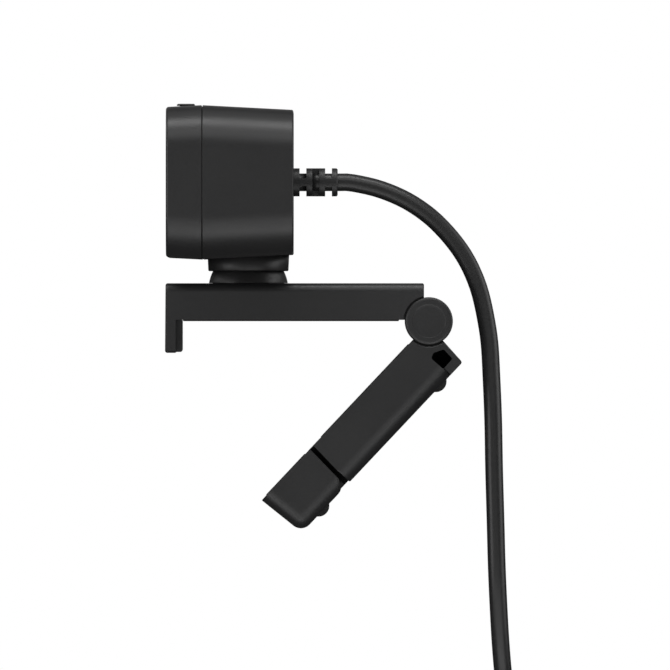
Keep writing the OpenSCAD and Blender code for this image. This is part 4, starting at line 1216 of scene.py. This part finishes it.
def area_light(name, azimuth, elevation, size, power, distance=1.2):
    """A softbox that faces the object; size is its width and height. Azimuth is from +X towards +Y."""
    target = Vector((0, 0.015, 0))
    a, e = math.radians(azimuth), math.radians(elevation)
    place = target + distance * Vector((math.cos(a) * math.cos(e), math.sin(a) * math.cos(e), math.sin(e)))
    data = bpy.data.lights.new(name, "AREA")
    data.shape = "RECTANGLE"
    data.size, data.size_y = size
    data.energy = power
    light = bpy.data.objects.new(name, data)
    light.location = place
    light.rotation_euler = (target - place).to_track_quat("-Z", "Y").to_euler()
    bpy.context.scene.collection.objects.link(light)


def make_world():
    """White to the camera, and to all other rays a dim grey, darkest a little below level."""
    world = bpy.data.worlds.new("studio")
    world.use_nodes = True
    tree = world.node_tree
    new, link = tree.nodes.new, tree.links.new
    background = tree.nodes["Background"]
    split = new("ShaderNodeSeparateXYZ")
    link(new("ShaderNodeTexCoord").outputs["Generated"], split.inputs[0])
    height = new("ShaderNodeMapRange")
    height.inputs["From Min"].default_value = -1
    link(split.outputs["Z"], height.inputs["Value"])
    room = new("ShaderNodeValToRGB")
    link(height.outputs["Result"], room.inputs[0])
    stops = room.color_ramp.elements
    while len(stops) < len(ROOM):
        stops.new(0.5)
    for stop, (place, grey) in zip(stops, ROOM):
        stop.position = (place + 1) / 2
        stop.color = (grey, grey, grey, 1)
    camera_ray = new("ShaderNodeLightPath").outputs["Is Camera Ray"]
    mix = new("ShaderNodeMix")
    mix.data_type = "RGBA"
    mix.inputs[7].default_value = (1, 1, 1, 1)
    link(camera_ray, mix.inputs[0])
    link(room.outputs[0], mix.inputs[6])
    link(mix.outputs[2], background.inputs["Color"])
    bpy.context.scene.world = world


ROOM = ((-0.65, 0.03), (-0.3, 0.02), (0.0, 0.03), (0.35, 0.04), (0.8, 0.05))
LIGHTS = (
    ("right_top", 0, 78, (1.3, 0.35), 7.6),
    ("right_high", 0, 46, (1.4, 0.45), 3.3),
    ("right_level", 0, 4, (1.5, 0.6), 0.9),
    ("right_low", 0, -26, (2.0, 0.35), 3.0),
    ("right_under", 0, -50, (2.0, 0.45), 5.8),
    ("front_side", -58, 4, (0.65, 0.9), 3.6),
    ("back_side", 82, 4, (0.8, 0.9), 3.2),
    ("front", -100, 30, (0.7, 0.6), 2.8),
    ("back", 100, 30, (0.7, 0.6), 2.0),
    ("left_top", 180, 68, (1.3, 0.4), 0.6),
    ("left_level", 180, 20, (1.4, 0.5), 0.6),
)


def make_lights():
    """Softboxes round the object, strongest above the side that the camera sees."""
    for name, azimuth, elevation, size, power in LIGHTS:
        area_light(name, azimuth, elevation, size, power)


make_front_shell()
make_rear_shell()
make_front_panel()
make_lens_ring()
make_shutter_knob()
make_collar()
make_ball()
make_strain_relief()
make_arm()
make_arm_pads()
make_caps()
make_leg()
make_foot()
make_leg_pads()
make_bumps()
make_insert()
[make_tie()] + make_plug()
dress_cad_nodes()
make_floor()
make_world()
make_lights()
bpy.context.scene.view_settings.view_transform = "Standard"
